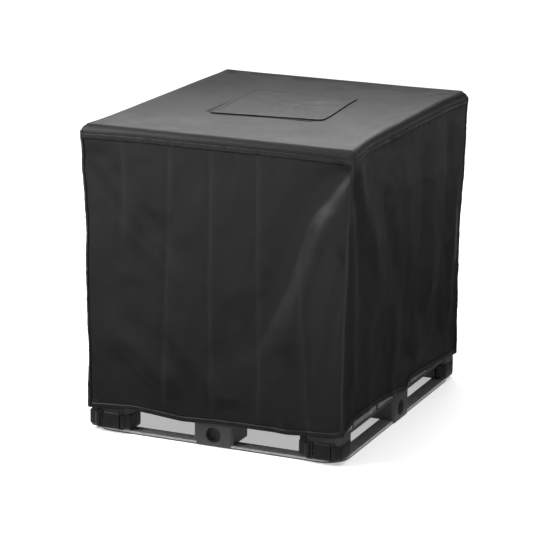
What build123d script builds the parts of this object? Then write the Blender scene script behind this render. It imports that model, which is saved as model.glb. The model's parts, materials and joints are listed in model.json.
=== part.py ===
from build123d import *
import os

os.makedirs("parts", exist_ok=True)

# Intermediate bulk container, 1000 litres, on a four-way pallet and under a fabric cover.
# X runs across the outlet side, Y along the container, Z up; the floor is Z = 0.
# All sizes are in millimetres.

# Pallet
pallet_width = 1000.0
pallet_length = 1200.0
skid_height = 14.0
skid_width = 50.0
skid_inset = 5.0
skid_sheet = 2.0
skid_corner = 90.0
foot_height = 84.0
foot_round = 22.0
corner_foot_width = 165.0
corner_foot_depth = 105.0
side_foot_width = 155.0
side_foot_depth = 140.0
centre_foot_size = 155.0
foot_recess_diameter = 59.0
foot_recess_depth = 25.0
foot_recess_rise = 45.0
apron_thickness = 4.5
apron_lift = 2.0
deck_thickness = 10.0
tray_height = 26.0
tray_inset = 3.0
tray_sheet = 2.0
tray_flange = 25.0
screw_diameter = 8.0
screw_head_diameter = 16.0
screw_head_height = 5.0
screw_grip = 40.0
screw_clearance = 0.2
deck_screw_inset = 45.0
corner_screw_inset = 73.5
corner_screw_offset = 110.0
middle_screw_offset = 38.0

# Cage
tube_diameter = 16.0
tube_wall = 1.0
cage_inset = 10.0
cage_corner = 60.0
bend_lead = 1.0
cage_height = 996.0
rail_count = 7
front_upright_count = 8
side_upright_count = 10
upright_margin = 10.0
outlet_gap_width = 240.0
crossbar_width = 30.0
crossbar_height = 14.0
crossbar_wall = 1.5
crossbar_spread = 190.0
crossbar_bolt_diameter = 8.0
crossbar_bolt_head = 12.0
crossbar_bolt_head_height = 4.0
crossbar_bolt_reach = 10.0
clamp_width = 24.0
clamp_sheet = 2.0
clamp_count = 6
clamp_spacing = 196.0
plate_width = 500.0
plate_height = 300.0
plate_sheet = 1.5
plate_rise = 560.0

# Bottle
bottle_gap = 3.0
bottle_wall = 3.0
bottle_headroom = 21.0
bottle_round = 60.0
bottle_rim = 45.0
neck_diameter = 150.0
neck_wall = 5.0
neck_height = 33.0
recess_width = 260.0
recess_height = 220.0
recess_depth = 104.0
spout_diameter = 60.0
spout_wall = 5.0
spout_length = 35.0
spout_collar = 14.0
outlet_rise = 85.0

# Fill cap and its gasket
cap_wall = 8.0
cap_top = 6.0
cap_drop = 24.0
cap_clearance = 2.0
cap_rib_count = 24
cap_rib_diameter = 5.0
cap_lug_height = 6.0
cap_lug_length = 110.0
cap_lug_width = 12.0
gasket_thickness = 3.0

# Outlet valve
valve_bore = 50.0
valve_wall = 7.0
valve_length = 73.0
valve_flange_diameter = 76.0
valve_flange_length = 8.0
stem_setback = 28.0
stem_diameter = 10.0
stem_clearance = 0.1
stem_boss_diameter = 26.0
stem_boss_rise = 52.0
stem_depth = 30.0
disc_thickness = 5.0
disc_clearance = 0.4
handle_reach = 72.0
handle_width = 20.0
handle_thickness = 10.0
nut_wall = 6.0
nut_grip = 12.0
nut_clearance = 0.5
dust_cap_wall = 5.0
dust_cap_end = 4.0
dust_cap_length = 24.0
dust_cap_clearance = 0.5
dust_cap_rib_count = 12
dust_cap_rib_diameter = 6.0

# Fabric cover
cover_clearance = 6.0
cover_wall = 4.0
cover_top_wall = 3.0
cover_top_gap = 5.0
front_hem_gap = 8.0
right_hem = 118.0
flap_width = 425.0
flap_length = 465.0
flap_thickness = 2.0
window_margin = 22.0
tape_width = 18.0
tape_thickness = 1.0
tape_gap = 0.3
tape_margin = 1.0

# Corner belts and their buckles
belt_width = 50.0
belt_thickness = 2.0
belt_clearance = 0.5
belt_rise = 23.0
tab_width = 24.0
tab_tuck = 30.0
ramp_length = 8.0
bar_diameter = 6.0
bar_clearance = 0.4
bar_stand_off = 10.0
bar_span = 91.5
buckle_thickness = 14.0
buckle_margin = 5.0
arm_thickness = 6.0
arm_overhang = 6.0
arm_proud = 2.0
plug_thickness = 8.4
plug_base_start = 8.0
plug_base_end = 15.0
tongue_end = 50.0
tongue_height = 10.0
prong_pivot = 19.0
prong_rise = 17.0
prong_root_radius = 3.5
prong_tip = 56.0
prong_button = 29.0
prong_play = 2.0
socket_start = 20.0
socket_end = 84.0
socket_wall = 2.2
window_start = 38.0
window_end = 62.0

# Heights that stack up from the floor
foot_base = skid_height
foot_top = foot_base + foot_height
deck_top = foot_top + deck_thickness
tray_floor = deck_top + tray_sheet
tray_top = deck_top + tray_height
rail_low = tray_top + tube_diameter / 2
cage_top = tray_top + cage_height
rail_high = cage_top - tube_diameter / 2
rail_pitch = (rail_high - rail_low) / (rail_count - 1)
crossbar_top = cage_top + crossbar_height
bottle_height = cage_height - bottle_headroom
bottle_top = tray_floor + bottle_height
neck_top = bottle_top + neck_height
outlet_height = tray_floor + outlet_rise
belt_top = belt_rise + belt_width
belt_middle = belt_rise + belt_width / 2
buckle_half_height = belt_width / 2 + buckle_margin
front_hem = belt_middle + buckle_half_height + arm_proud + front_hem_gap
cover_top_base = crossbar_top + cover_top_gap
cover_top_face = cover_top_base + cover_top_wall
flap_base = cover_top_face + 2 * tape_thickness + tape_gap

# Plan positions
half_width = pallet_width / 2
half_length = pallet_length / 2
rail_x = half_width - cage_inset - tube_diameter / 2
rail_y = half_length - cage_inset - tube_diameter / 2
upright_x = rail_x - tube_diameter
upright_y = rail_y - tube_diameter
bottle_half_width = upright_x - tube_diameter / 2 - bottle_gap
bottle_half_length = upright_y - tube_diameter / 2 - bottle_gap
skirt_x = half_width + cover_clearance
skirt_y = half_length + cover_clearance
belt_outside = belt_clearance + belt_thickness


def finish(part, name):
    part.label = name
    export_step(part, f"parts/{name}.step")


# ---- Pallet ----

corner_foot_x = half_width - corner_foot_width / 2
corner_foot_y = half_length - corner_foot_depth / 2
skid_line_x = half_width - skid_inset - skid_width / 2
skid_line_y = half_length - skid_inset - skid_width / 2
deck_screw_x = half_width - deck_screw_inset
deck_screw_y = half_length - deck_screw_inset

# One screw from below and one from above at every foot of the rim, as (x, y) places
corner_screws_below = [
    (side * (half_width - corner_screw_offset), end * skid_line_y)
    for side in (-1, 1)
    for end in (-1, 1)
]
corner_screws_above = [
    (side * deck_screw_x, end * (half_length - corner_screw_inset))
    for side in (-1, 1)
    for end in (-1, 1)
]
middle_screws_below = [(0, -skid_line_y), (0, skid_line_y), (-skid_line_x, 0), (skid_line_x, 0)]
middle_screws_above = [
    (-middle_screw_offset, -deck_screw_y),
    (-middle_screw_offset, deck_screw_y),
    (-deck_screw_x, middle_screw_offset),
    (deck_screw_x, middle_screw_offset),
]
screws_below = corner_screws_below + middle_screws_below
screws_above = corner_screws_above + middle_screws_above

with BuildPart() as bottom_skid:
    skid_outer_width = pallet_width - 2 * skid_inset
    skid_outer_length = pallet_length - 2 * skid_inset
    with BuildSketch():
        RectangleRounded(skid_outer_width, skid_outer_length, skid_corner)
        RectangleRounded(
            skid_outer_width - 2 * skid_width,
            skid_outer_length - 2 * skid_width,
            skid_corner - skid_width,
            mode=Mode.SUBTRACT,
        )
    extrude(amount=skid_height)
    # Underside groove, so the skid is a folded channel that stands on its two lips
    with BuildSketch():
        RectangleRounded(
            skid_outer_width - 2 * skid_sheet,
            skid_outer_length - 2 * skid_sheet,
            skid_corner - skid_sheet,
        )
        RectangleRounded(
            skid_outer_width - 2 * (skid_width - skid_sheet),
            skid_outer_length - 2 * (skid_width - skid_sheet),
            skid_corner - skid_width + skid_sheet,
            mode=Mode.SUBTRACT,
        )
    extrude(amount=skid_height - skid_sheet, mode=Mode.SUBTRACT)
    # The top sheet is drilled where the screws pass
    with BuildSketch():
        with Locations(screws_below):
            Circle(screw_diameter / 2 + screw_clearance)
    extrude(amount=skid_height, mode=Mode.SUBTRACT)


# Cuts the screw bores of the part being built, from below and from above
def cut_screw_holes():
    with Locations([(x, y, foot_base) for x, y in screws_below]):
        Cylinder(
            screw_diameter / 2,
            screw_grip,
            align=(Align.CENTER, Align.CENTER, Align.MIN),
            mode=Mode.SUBTRACT,
        )
    with Locations([(x, y, foot_top - screw_grip) for x, y in screws_above]):
        Cylinder(
            screw_diameter / 2,
            screw_grip,
            align=(Align.CENTER, Align.CENTER, Align.MIN),
            mode=Mode.SUBTRACT,
        )


feet = {}
for end_name, end in (("front", -1), ("back", 1)):
    for side_name, side in (("left", -1), ("right", 1)):
        with BuildPart() as foot:
            with BuildSketch(Plane.XY.offset(foot_base)):
                with Locations((side * corner_foot_x, end * corner_foot_y)):
                    RectangleRounded(corner_foot_width, corner_foot_depth, foot_round)
            extrude(amount=foot_height)
            cut_screw_holes()
        feet[f"foot_{end_name}_{side_name}"] = foot

# Middle feet: each has a round recess in its outer face and an apron in front of the skid
for foot_name, outward in (
    ("foot_front_middle", (0, -1)),
    ("foot_back_middle", (0, 1)),
    ("foot_left_middle", (-1, 0)),
    ("foot_right_middle", (1, 0)),
):
    edge = half_length if outward[0] == 0 else half_width
    outer_face = Plane(
        origin=(outward[0] * edge, outward[1] * edge, 0),
        x_dir=(-outward[1], outward[0], 0),
        z_dir=(outward[0], outward[1], 0),
    )
    with BuildPart() as foot:
        with BuildSketch(outer_face):
            with Locations((0, foot_base + foot_height / 2)):
                Rectangle(side_foot_width, foot_height)
        extrude(amount=-side_foot_depth)
        fillet(foot.edges().filter_by(Axis.Z), foot_round / 2)
        with BuildSketch(outer_face):
            with Locations((0, (foot_base + apron_lift) / 2)):
                Rectangle(side_foot_width - foot_round, foot_base - apron_lift)
        extrude(amount=-apron_thickness)
        with BuildSketch(outer_face):
            with Locations((0, foot_recess_rise)):
                Circle(foot_recess_diameter / 2)
        extrude(amount=-foot_recess_depth, mode=Mode.SUBTRACT)
        cut_screw_holes()
    feet[foot_name] = foot

with BuildPart() as foot_centre:
    with BuildSketch():
        RectangleRounded(centre_foot_size, centre_foot_size, foot_round)
    extrude(amount=foot_top)
feet["foot_centre"] = foot_centre

with BuildPart() as deck_frame:
    with BuildSketch(Plane.XY.offset(foot_top)):
        RectangleRounded(pallet_width, pallet_length, foot_round)
        with Locations(screws_above):
            Circle(screw_diameter / 2 + screw_clearance, mode=Mode.SUBTRACT)
    extrude(amount=deck_thickness)

# Sheet tray: floor, upright rim and a flange turned inwards on which the cage stands
with BuildPart() as deck_tray:
    tray_width = pallet_width - 2 * tray_inset
    tray_length = pallet_length - 2 * tray_inset
    with BuildSketch(Plane.XY.offset(deck_top)):
        RectangleRounded(tray_width, tray_length, foot_round)
    extrude(amount=tray_height)
    with BuildSketch(Plane.XY.offset(tray_floor)):
        RectangleRounded(
            tray_width - 2 * tray_sheet, tray_length - 2 * tray_sheet, foot_round - tray_sheet
        )
    extrude(amount=tray_height - 2 * tray_sheet, mode=Mode.SUBTRACT)
    with BuildSketch(Plane.XY.offset(tray_floor)):
        RectangleRounded(
            tray_width - 2 * tray_flange, tray_length - 2 * tray_flange, bottle_round
        )
    extrude(amount=tray_height, mode=Mode.SUBTRACT)
    with BuildSketch(Plane.XY.offset(deck_top)):
        with Locations(screws_above):
            Circle(screw_diameter / 2 + screw_clearance)
    extrude(amount=tray_sheet, mode=Mode.SUBTRACT)

with BuildPart() as pallet_screws:
    skid_underside = skid_height - skid_sheet
    with BuildSketch(Plane.XY.offset(skid_underside)):
        with Locations(screws_below):
            Circle(screw_head_diameter / 2)
    extrude(amount=-screw_head_height)
    with BuildSketch(Plane.XY.offset(skid_underside)):
        with Locations(screws_below):
            Circle(screw_diameter / 2)
    extrude(amount=foot_base + screw_grip - skid_underside)
    with BuildSketch(Plane.XY.offset(tray_floor)):
        with Locations(screws_above):
            Circle(screw_head_diameter / 2)
    extrude(amount=screw_head_height)
    with BuildSketch(Plane.XY.offset(tray_floor)):
        with Locations(screws_above):
            Circle(screw_diameter / 2)
    extrude(amount=-(tray_floor - foot_top + screw_grip))

finish(bottom_skid.part, "bottom_skid")
for foot_name, foot in feet.items():
    finish(foot.part, foot_name)
finish(deck_frame.part, "deck_frame")
finish(deck_tray.part, "deck_tray")
finish(pallet_screws.part, "pallet_screws")

# ---- Cage ----

rail_heights = [rail_low + i * rail_pitch for i in range(rail_count)]


def spread(count, half_span):
    return [-half_span + i * 2 * half_span / (count - 1) for i in range(count)]


def tube_section():
    Circle(tube_diameter / 2)
    Circle(tube_diameter / 2 - tube_wall, mode=Mode.SUBTRACT)


front_straight = rail_x - cage_corner
side_straight = rail_y - cage_corner - bend_lead

for cage_name, end in (("cage_front", -1), ("cage_back", 1)):
    with BuildPart() as cage_end:
        # Rails with their bent corners
        for height in rail_heights:
            with BuildLine() as rail_path:
                start = (-rail_x, end * side_straight, height)
                corner_left = (-rail_x, end * rail_y, height)
                corner_right = (rail_x, end * rail_y, height)
                stop = (rail_x, end * side_straight, height)
                FilletPolyline(start, corner_left, corner_right, stop, radius=cage_corner)
            with BuildSketch(Plane(origin=start, z_dir=(0, end, 0))):
                tube_section()
            sweep(path=rail_path.line)
        for x in spread(front_upright_count, front_straight - upright_margin):
            over_outlet = end == -1 and abs(x) < outlet_gap_width / 2
            base = rail_heights[1] - tube_diameter / 2 if over_outlet else tray_top
            with BuildSketch(Plane.XY.offset(base)):
                with Locations((x, end * upright_y)):
                    tube_section()
            extrude(amount=cage_top - base)
    finish(cage_end.part, cage_name)

crossbar_bolt_places = [
    (side * rail_x, end * crossbar_spread) for side in (-1, 1) for end in (-1, 1)
]

for cage_name, side in (("cage_left", -1), ("cage_right", 1)):
    with BuildPart() as cage_side:
        with BuildSketch(Plane.XZ.offset(-side_straight)):
            with Locations([(side * rail_x, height) for height in rail_heights]):
                tube_section()
        extrude(amount=2 * side_straight)
        with BuildSketch(Plane.XY.offset(tray_top)):
            places = spread(side_upright_count, side_straight - upright_margin)
            with Locations([(side * upright_x, y) for y in places]):
                tube_section()
        extrude(amount=cage_height)
        with BuildSketch(Plane.XY.offset(rail_high)):
            with Locations(crossbar_bolt_places):
                Circle(crossbar_bolt_diameter / 2 + screw_clearance)
        extrude(amount=tube_diameter, mode=Mode.SUBTRACT)
    finish(cage_side.part, cage_name)

for bar_name, end in (("crossbar_front", -1), ("crossbar_back", 1)):
    with BuildPart() as crossbar:
        bar_length = 2 * rail_x + tube_diameter
        with BuildSketch(Plane.YZ.offset(-bar_length / 2)):
            with Locations((end * crossbar_spread, cage_top + crossbar_height / 2)):
                RectangleRounded(crossbar_width, crossbar_height, crossbar_wall * 2)
                RectangleRounded(
                    crossbar_width - 2 * crossbar_wall,
                    crossbar_height - 2 * crossbar_wall,
                    crossbar_wall,
                    mode=Mode.SUBTRACT,
                )
        extrude(amount=bar_length)
        with BuildSketch(Plane.XY.offset(cage_top)):
            with Locations(crossbar_bolt_places):
                Circle(crossbar_bolt_diameter / 2 + screw_clearance)
        extrude(amount=crossbar_height, mode=Mode.SUBTRACT)
    finish(crossbar.part, bar_name)

with BuildPart() as crossbar_bolts:
    with BuildSketch(Plane.XY.offset(crossbar_top)):
        with Locations(crossbar_bolt_places):
            RegularPolygon(crossbar_bolt_head / 2, 6)
    extrude(amount=crossbar_bolt_head_height)
    with BuildSketch(Plane.XY.offset(crossbar_top)):
        with Locations(crossbar_bolt_places):
            Circle(crossbar_bolt_diameter / 2)
    extrude(amount=-(crossbar_height + crossbar_bolt_reach))
finish(crossbar_bolts.part, "crossbar_bolts")

# Clamps: straps up the outside of the tray's rim and over the lowest rail, along both sides
with BuildPart() as cage_clamps:
    clamp_face = half_width - tray_inset
    clamp_base = deck_top + clamp_sheet
    clamp_roof = tray_top + tube_diameter
    for side in (-1, 1):
        for y in spread(clamp_count, clamp_spacing * (clamp_count - 1) / 2):
            clamp_plane = Plane(
                origin=(0, y + clamp_width / 2, 0), x_dir=(side, 0, 0), z_dir=(0, -side, 0)
            )
            reach = clamp_width if side == 1 else -clamp_width
            with BuildSketch(clamp_plane):
                with BuildLine():
                    Polyline(
                        (clamp_face, clamp_base),
                        (clamp_face + clamp_sheet, clamp_base),
                        (clamp_face + clamp_sheet, clamp_roof + clamp_sheet),
                        (rail_x - tube_diameter / 4, clamp_roof + clamp_sheet),
                        (rail_x - tube_diameter / 4, clamp_roof),
                        (clamp_face, clamp_roof),
                        close=True,
                    )
                make_face()
            extrude(amount=reach)
finish(cage_clamps.part, "cage_clamps")

with BuildPart() as label_plate:
    plate_face = half_length - cage_inset
    with BuildSketch(Plane.XZ.offset(plate_face)):
        with Locations((0, plate_rise + plate_height / 2)):
            RectangleRounded(plate_width, plate_height, foot_round)
    extrude(amount=plate_sheet)
finish(label_plate.part, "label_plate")

# ---- Bottle ----

with BuildPart() as bottle_hollow:
    inner_base = tray_floor + bottle_wall
    inner_round = bottle_round - bottle_wall
    with BuildSketch(Plane.XY.offset(inner_base)):
        RectangleRounded(
            2 * (bottle_half_width - bottle_wall),
            2 * (bottle_half_length - bottle_wall),
            inner_round,
        )
    extrude(amount=bottle_height - 2 * bottle_wall)
    flat_faces = bottle_hollow.faces().filter_by(Axis.Z)
    fillet(flat_faces.edges(), bottle_rim - bottle_wall)
    with BuildSketch(Plane.XZ.offset(bottle_half_length - recess_depth - bottle_wall)):
        with Locations((0, tray_floor + recess_height / 2)):
            Rectangle(recess_width + 2 * bottle_wall, recess_height + 2 * bottle_wall)
    extrude(amount=recess_depth + bottle_wall, mode=Mode.SUBTRACT)
    with BuildSketch(Plane.XY.offset(bottle_top - 2 * bottle_wall)):
        Circle(neck_diameter / 2 - neck_wall)
    extrude(amount=neck_height + 2 * bottle_wall)
    spout_face = bottle_half_length - recess_depth + spout_length
    with BuildSketch(Plane.XZ.offset(spout_face)):
        with Locations((0, outlet_height)):
            Circle(spout_diameter / 2 - spout_wall)
    extrude(amount=-(spout_length + 2 * bottle_wall))

with BuildPart() as bottle:
    with BuildSketch(Plane.XY.offset(tray_floor)):
        RectangleRounded(2 * bottle_half_width, 2 * bottle_half_length, bottle_round)
    extrude(amount=bottle_height)
    flat_faces = bottle.faces().filter_by(Axis.Z)
    fillet(flat_faces.edges(), bottle_rim)
    with BuildSketch(Plane.XZ.offset(bottle_half_length - recess_depth)):
        with Locations((0, tray_floor + recess_height / 2)):
            Rectangle(recess_width, recess_height)
    extrude(amount=recess_depth, mode=Mode.SUBTRACT)
    with BuildSketch(Plane.XY.offset(bottle_top)):
        Circle(neck_diameter / 2)
    extrude(amount=neck_height)
    with BuildSketch(Plane.XZ.offset(spout_face)):
        with Locations((0, outlet_height)):
            Circle(spout_diameter / 2)
    extrude(amount=-spout_length)
    with BuildSketch(Plane.XZ.offset(spout_face)):
        with Locations((0, outlet_height)):
            Circle(valve_flange_diameter / 2)
    extrude(amount=-spout_collar)
    add(bottle_hollow.part, mode=Mode.SUBTRACT)
finish(bottle.part, "bottle")

with BuildPart() as fill_cap_gasket:
    with BuildSketch(Plane.XY.offset(neck_top)):
        Circle(neck_diameter / 2)
        Circle(neck_diameter / 2 - 2 * neck_wall, mode=Mode.SUBTRACT)
    extrude(amount=gasket_thickness)
finish(fill_cap_gasket.part, "fill_cap_gasket")

with BuildPart() as fill_cap:
    cap_radius = neck_diameter / 2 + cap_clearance + cap_wall
    cap_underside = neck_top + gasket_thickness
    with BuildSketch(Plane.XY.offset(neck_top - cap_drop)):
        Circle(cap_radius)
        with PolarLocations(cap_radius, cap_rib_count):
            Circle(cap_rib_diameter / 2)
    extrude(amount=cap_drop + gasket_thickness + cap_top)
    with BuildSketch(Plane.XY.offset(neck_top - cap_drop)):
        Circle(neck_diameter / 2 + cap_clearance)
    extrude(amount=cap_drop + gasket_thickness, mode=Mode.SUBTRACT)
    with BuildSketch(Plane.XY.offset(cap_underside + cap_top)):
        Rectangle(cap_lug_length, cap_lug_width)
        Rectangle(cap_lug_width, cap_lug_length)
        Circle(cap_lug_width, mode=Mode.SUBTRACT)
    extrude(amount=cap_lug_height)
finish(fill_cap.part, "fill_cap")

# ---- Outlet valve, lying along -Y ----

valve_gasket_face = spout_face + gasket_thickness
valve_end = valve_gasket_face + valve_length
stem_y = -(valve_gasket_face + stem_setback)
valve_radius = valve_bore / 2 + valve_wall

with BuildPart() as valve_gasket:
    with BuildSketch(Plane.XZ.offset(spout_face)):
        with Locations((0, outlet_height)):
            Circle(spout_diameter / 2)
            Circle(valve_bore / 2, mode=Mode.SUBTRACT)
    extrude(amount=gasket_thickness)
finish(valve_gasket.part, "valve_gasket")

with BuildPart() as valve_body:
    with BuildSketch(Plane.XZ.offset(valve_gasket_face)):
        with Locations((0, outlet_height)):
            Circle(valve_radius)
    extrude(amount=valve_length)
    with BuildSketch(Plane.XZ.offset(valve_gasket_face)):
        with Locations((0, outlet_height)):
            Circle(valve_flange_diameter / 2)
    extrude(amount=valve_flange_length)
    with Locations((0, stem_y, outlet_height)):
        Cylinder(
            stem_boss_diameter / 2,
            stem_boss_rise,
            align=(Align.CENTER, Align.CENTER, Align.MIN),
        )
        Cylinder(
            stem_boss_diameter / 2,
            valve_radius + valve_wall,
            align=(Align.CENTER, Align.CENTER, Align.MAX),
        )
    with BuildSketch(Plane.XZ.offset(valve_gasket_face)):
        with Locations((0, outlet_height)):
            Circle(valve_bore / 2)
    extrude(amount=valve_length, mode=Mode.SUBTRACT)
    with Locations((0, stem_y, outlet_height - stem_depth)):
        Cylinder(
            stem_diameter / 2 + stem_clearance,
            stem_depth + stem_boss_rise,
            align=(Align.CENTER, Align.CENTER, Align.MIN),
            mode=Mode.SUBTRACT,
        )
finish(valve_body.part, "valve_body")

# Union nut: grips the spout's collar and pulls the valve's flange against it
with BuildPart() as valve_nut:
    nut_base = spout_face - nut_grip
    nut_shoulder = valve_gasket_face + valve_flange_length
    nut_bore = valve_flange_diameter / 2 + nut_clearance
    with BuildSketch(Plane.XZ.offset(nut_base)):
        with Locations((0, outlet_height)):
            RegularPolygon(nut_bore + nut_wall, 8, major_radius=False)
            Circle(valve_radius + nut_clearance, mode=Mode.SUBTRACT)
    extrude(amount=nut_shoulder + nut_wall - nut_base)
    with BuildSketch(Plane.XZ.offset(nut_base)):
        with Locations((0, outlet_height)):
            Circle(nut_bore)
    extrude(amount=nut_shoulder - nut_base, mode=Mode.SUBTRACT)
finish(valve_nut.part, "valve_nut")

with BuildPart() as valve_disc:
    with BuildSketch(Plane.XZ.offset(-stem_y - disc_thickness / 2)):
        with Locations((0, outlet_height)):
            Circle(valve_bore / 2 - disc_clearance)
    extrude(amount=disc_thickness)
    with Locations((0, stem_y, outlet_height - stem_depth + stem_clearance)):
        Cylinder(
            stem_diameter / 2,
            stem_depth + stem_boss_rise,
            align=(Align.CENTER, Align.CENTER, Align.MIN),
        )
finish(valve_disc.part, "valve_disc")

with BuildPart() as valve_handle:
    handle_base = outlet_height + stem_boss_rise + stem_clearance
    with BuildSketch(Plane.XY.offset(handle_base)):
        with Locations((0, stem_y)):
            Circle(stem_boss_diameter / 2)
        with Locations((handle_reach / 2 - handle_width / 4, stem_y)):
            SlotOverall(handle_reach + handle_width / 2, handle_width)
    extrude(amount=handle_thickness)
finish(valve_handle.part, "valve_handle")

with BuildPart() as dust_cap_gasket:
    with BuildSketch(Plane.XZ.offset(valve_end)):
        with Locations((0, outlet_height)):
            Circle(valve_radius)
            Circle(valve_bore / 2, mode=Mode.SUBTRACT)
    extrude(amount=gasket_thickness)
finish(dust_cap_gasket.part, "dust_cap_gasket")

with BuildPart() as dust_cap:
    dust_cap_bore = valve_radius + dust_cap_clearance
    dust_cap_back = valve_end + gasket_thickness + dust_cap_end - dust_cap_length
    with BuildSketch(Plane.XZ.offset(dust_cap_back)):
        with Locations((0, outlet_height)):
            Circle(dust_cap_bore + dust_cap_wall)
            with PolarLocations(dust_cap_bore + dust_cap_wall, dust_cap_rib_count):
                Circle(dust_cap_rib_diameter / 2)
    extrude(amount=dust_cap_length)
    with BuildSketch(Plane.XZ.offset(dust_cap_back)):
        with Locations((0, outlet_height)):
            Circle(dust_cap_bore)
    extrude(amount=dust_cap_length - dust_cap_end, mode=Mode.SUBTRACT)
finish(dust_cap.part, "dust_cap")

# ---- Fabric cover ----

for panel_name, end in (("cover_front", -1), ("cover_back", 1)):
    with BuildPart() as panel:
        with BuildSketch(Plane.XY.offset(front_hem)):
            with Locations((0, end * (skirt_y + cover_wall / 2))):
                Rectangle(2 * (skirt_x + cover_wall), cover_wall)
        extrude(amount=cover_top_base - front_hem)
    finish(panel.part, panel_name)

for panel_name, side, hem in (("cover_left", -1, front_hem), ("cover_right", 1, right_hem)):
    with BuildPart() as panel:
        with BuildSketch(Plane.XY.offset(hem)):
            with Locations((side * (skirt_x + cover_wall / 2), 0)):
                Rectangle(cover_wall, 2 * skirt_y)
        extrude(amount=cover_top_base - hem)
    finish(panel.part, panel_name)

window_width = flap_width - 2 * window_margin
window_length = flap_length - 2 * window_margin

with BuildPart() as cover_top:
    with BuildSketch(Plane.XY.offset(cover_top_base)):
        Rectangle(2 * (skirt_x + cover_wall), 2 * (skirt_y + cover_wall))
        Rectangle(window_width, window_length, mode=Mode.SUBTRACT)
    extrude(amount=cover_top_wall)
finish(cover_top.part, "cover_top")


# Hook-and-loop tape on three sides of the window: left, right and front
def tape_outline():
    side_x = window_width / 2 + tape_width / 2 + tape_margin
    front_y = -(window_length / 2 + tape_width / 2 + tape_margin)
    with Locations((-side_x, 0), (side_x, 0)):
        Rectangle(tape_width, window_length)
    with Locations((0, front_y)):
        Rectangle(window_width + 2 * tape_width, tape_width)


with BuildPart() as loop_tape:
    with BuildSketch(Plane.XY.offset(cover_top_face)):
        tape_outline()
    extrude(amount=tape_thickness)
finish(loop_tape.part, "loop_tape")

with BuildPart() as hook_tape:
    with BuildSketch(Plane.XY.offset(flap_base)):
        tape_outline()
    extrude(amount=-tape_thickness)
finish(hook_tape.part, "hook_tape")

with BuildPart() as cover_flap:
    with BuildSketch(Plane.XY.offset(flap_base)):
        RectangleRounded(flap_width, flap_length, foot_round)
    extrude(amount=flap_thickness)
finish(cover_flap.part, "cover_flap")

# ---- Corner belts ----
# A buckle lies in a plane whose X runs along the foot from its left edge, as seen from
# outside, and whose Y runs inwards; bar_start is the plug's bar, measured from that edge.

corner_left_x = -half_width
corner_right_x = half_width - corner_foot_width
back_pocket_y = half_length - corner_foot_depth
corners = {
    "front_left": {
        "foot": (corner_left_x, -half_length), "facing": 1, "bar_start": 43.5, "tab": 25.0,
        "tab_behind": False,
    },
    "front_right": {
        "foot": (corner_right_x, -half_length), "facing": 1, "bar_start": 43.5, "tab": 18.0,
        "tab_behind": False,
    },
    "back_right": {
        "foot": (corner_right_x, back_pocket_y), "facing": 1, "bar_start": 43.5, "tab": 60.0,
        "tab_behind": True,
    },
    "back_left": {
        "foot": (-corner_right_x, half_length), "facing": -1, "bar_start": 43.5, "tab": 18.0,
        "tab_behind": False,
    },
}

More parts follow.
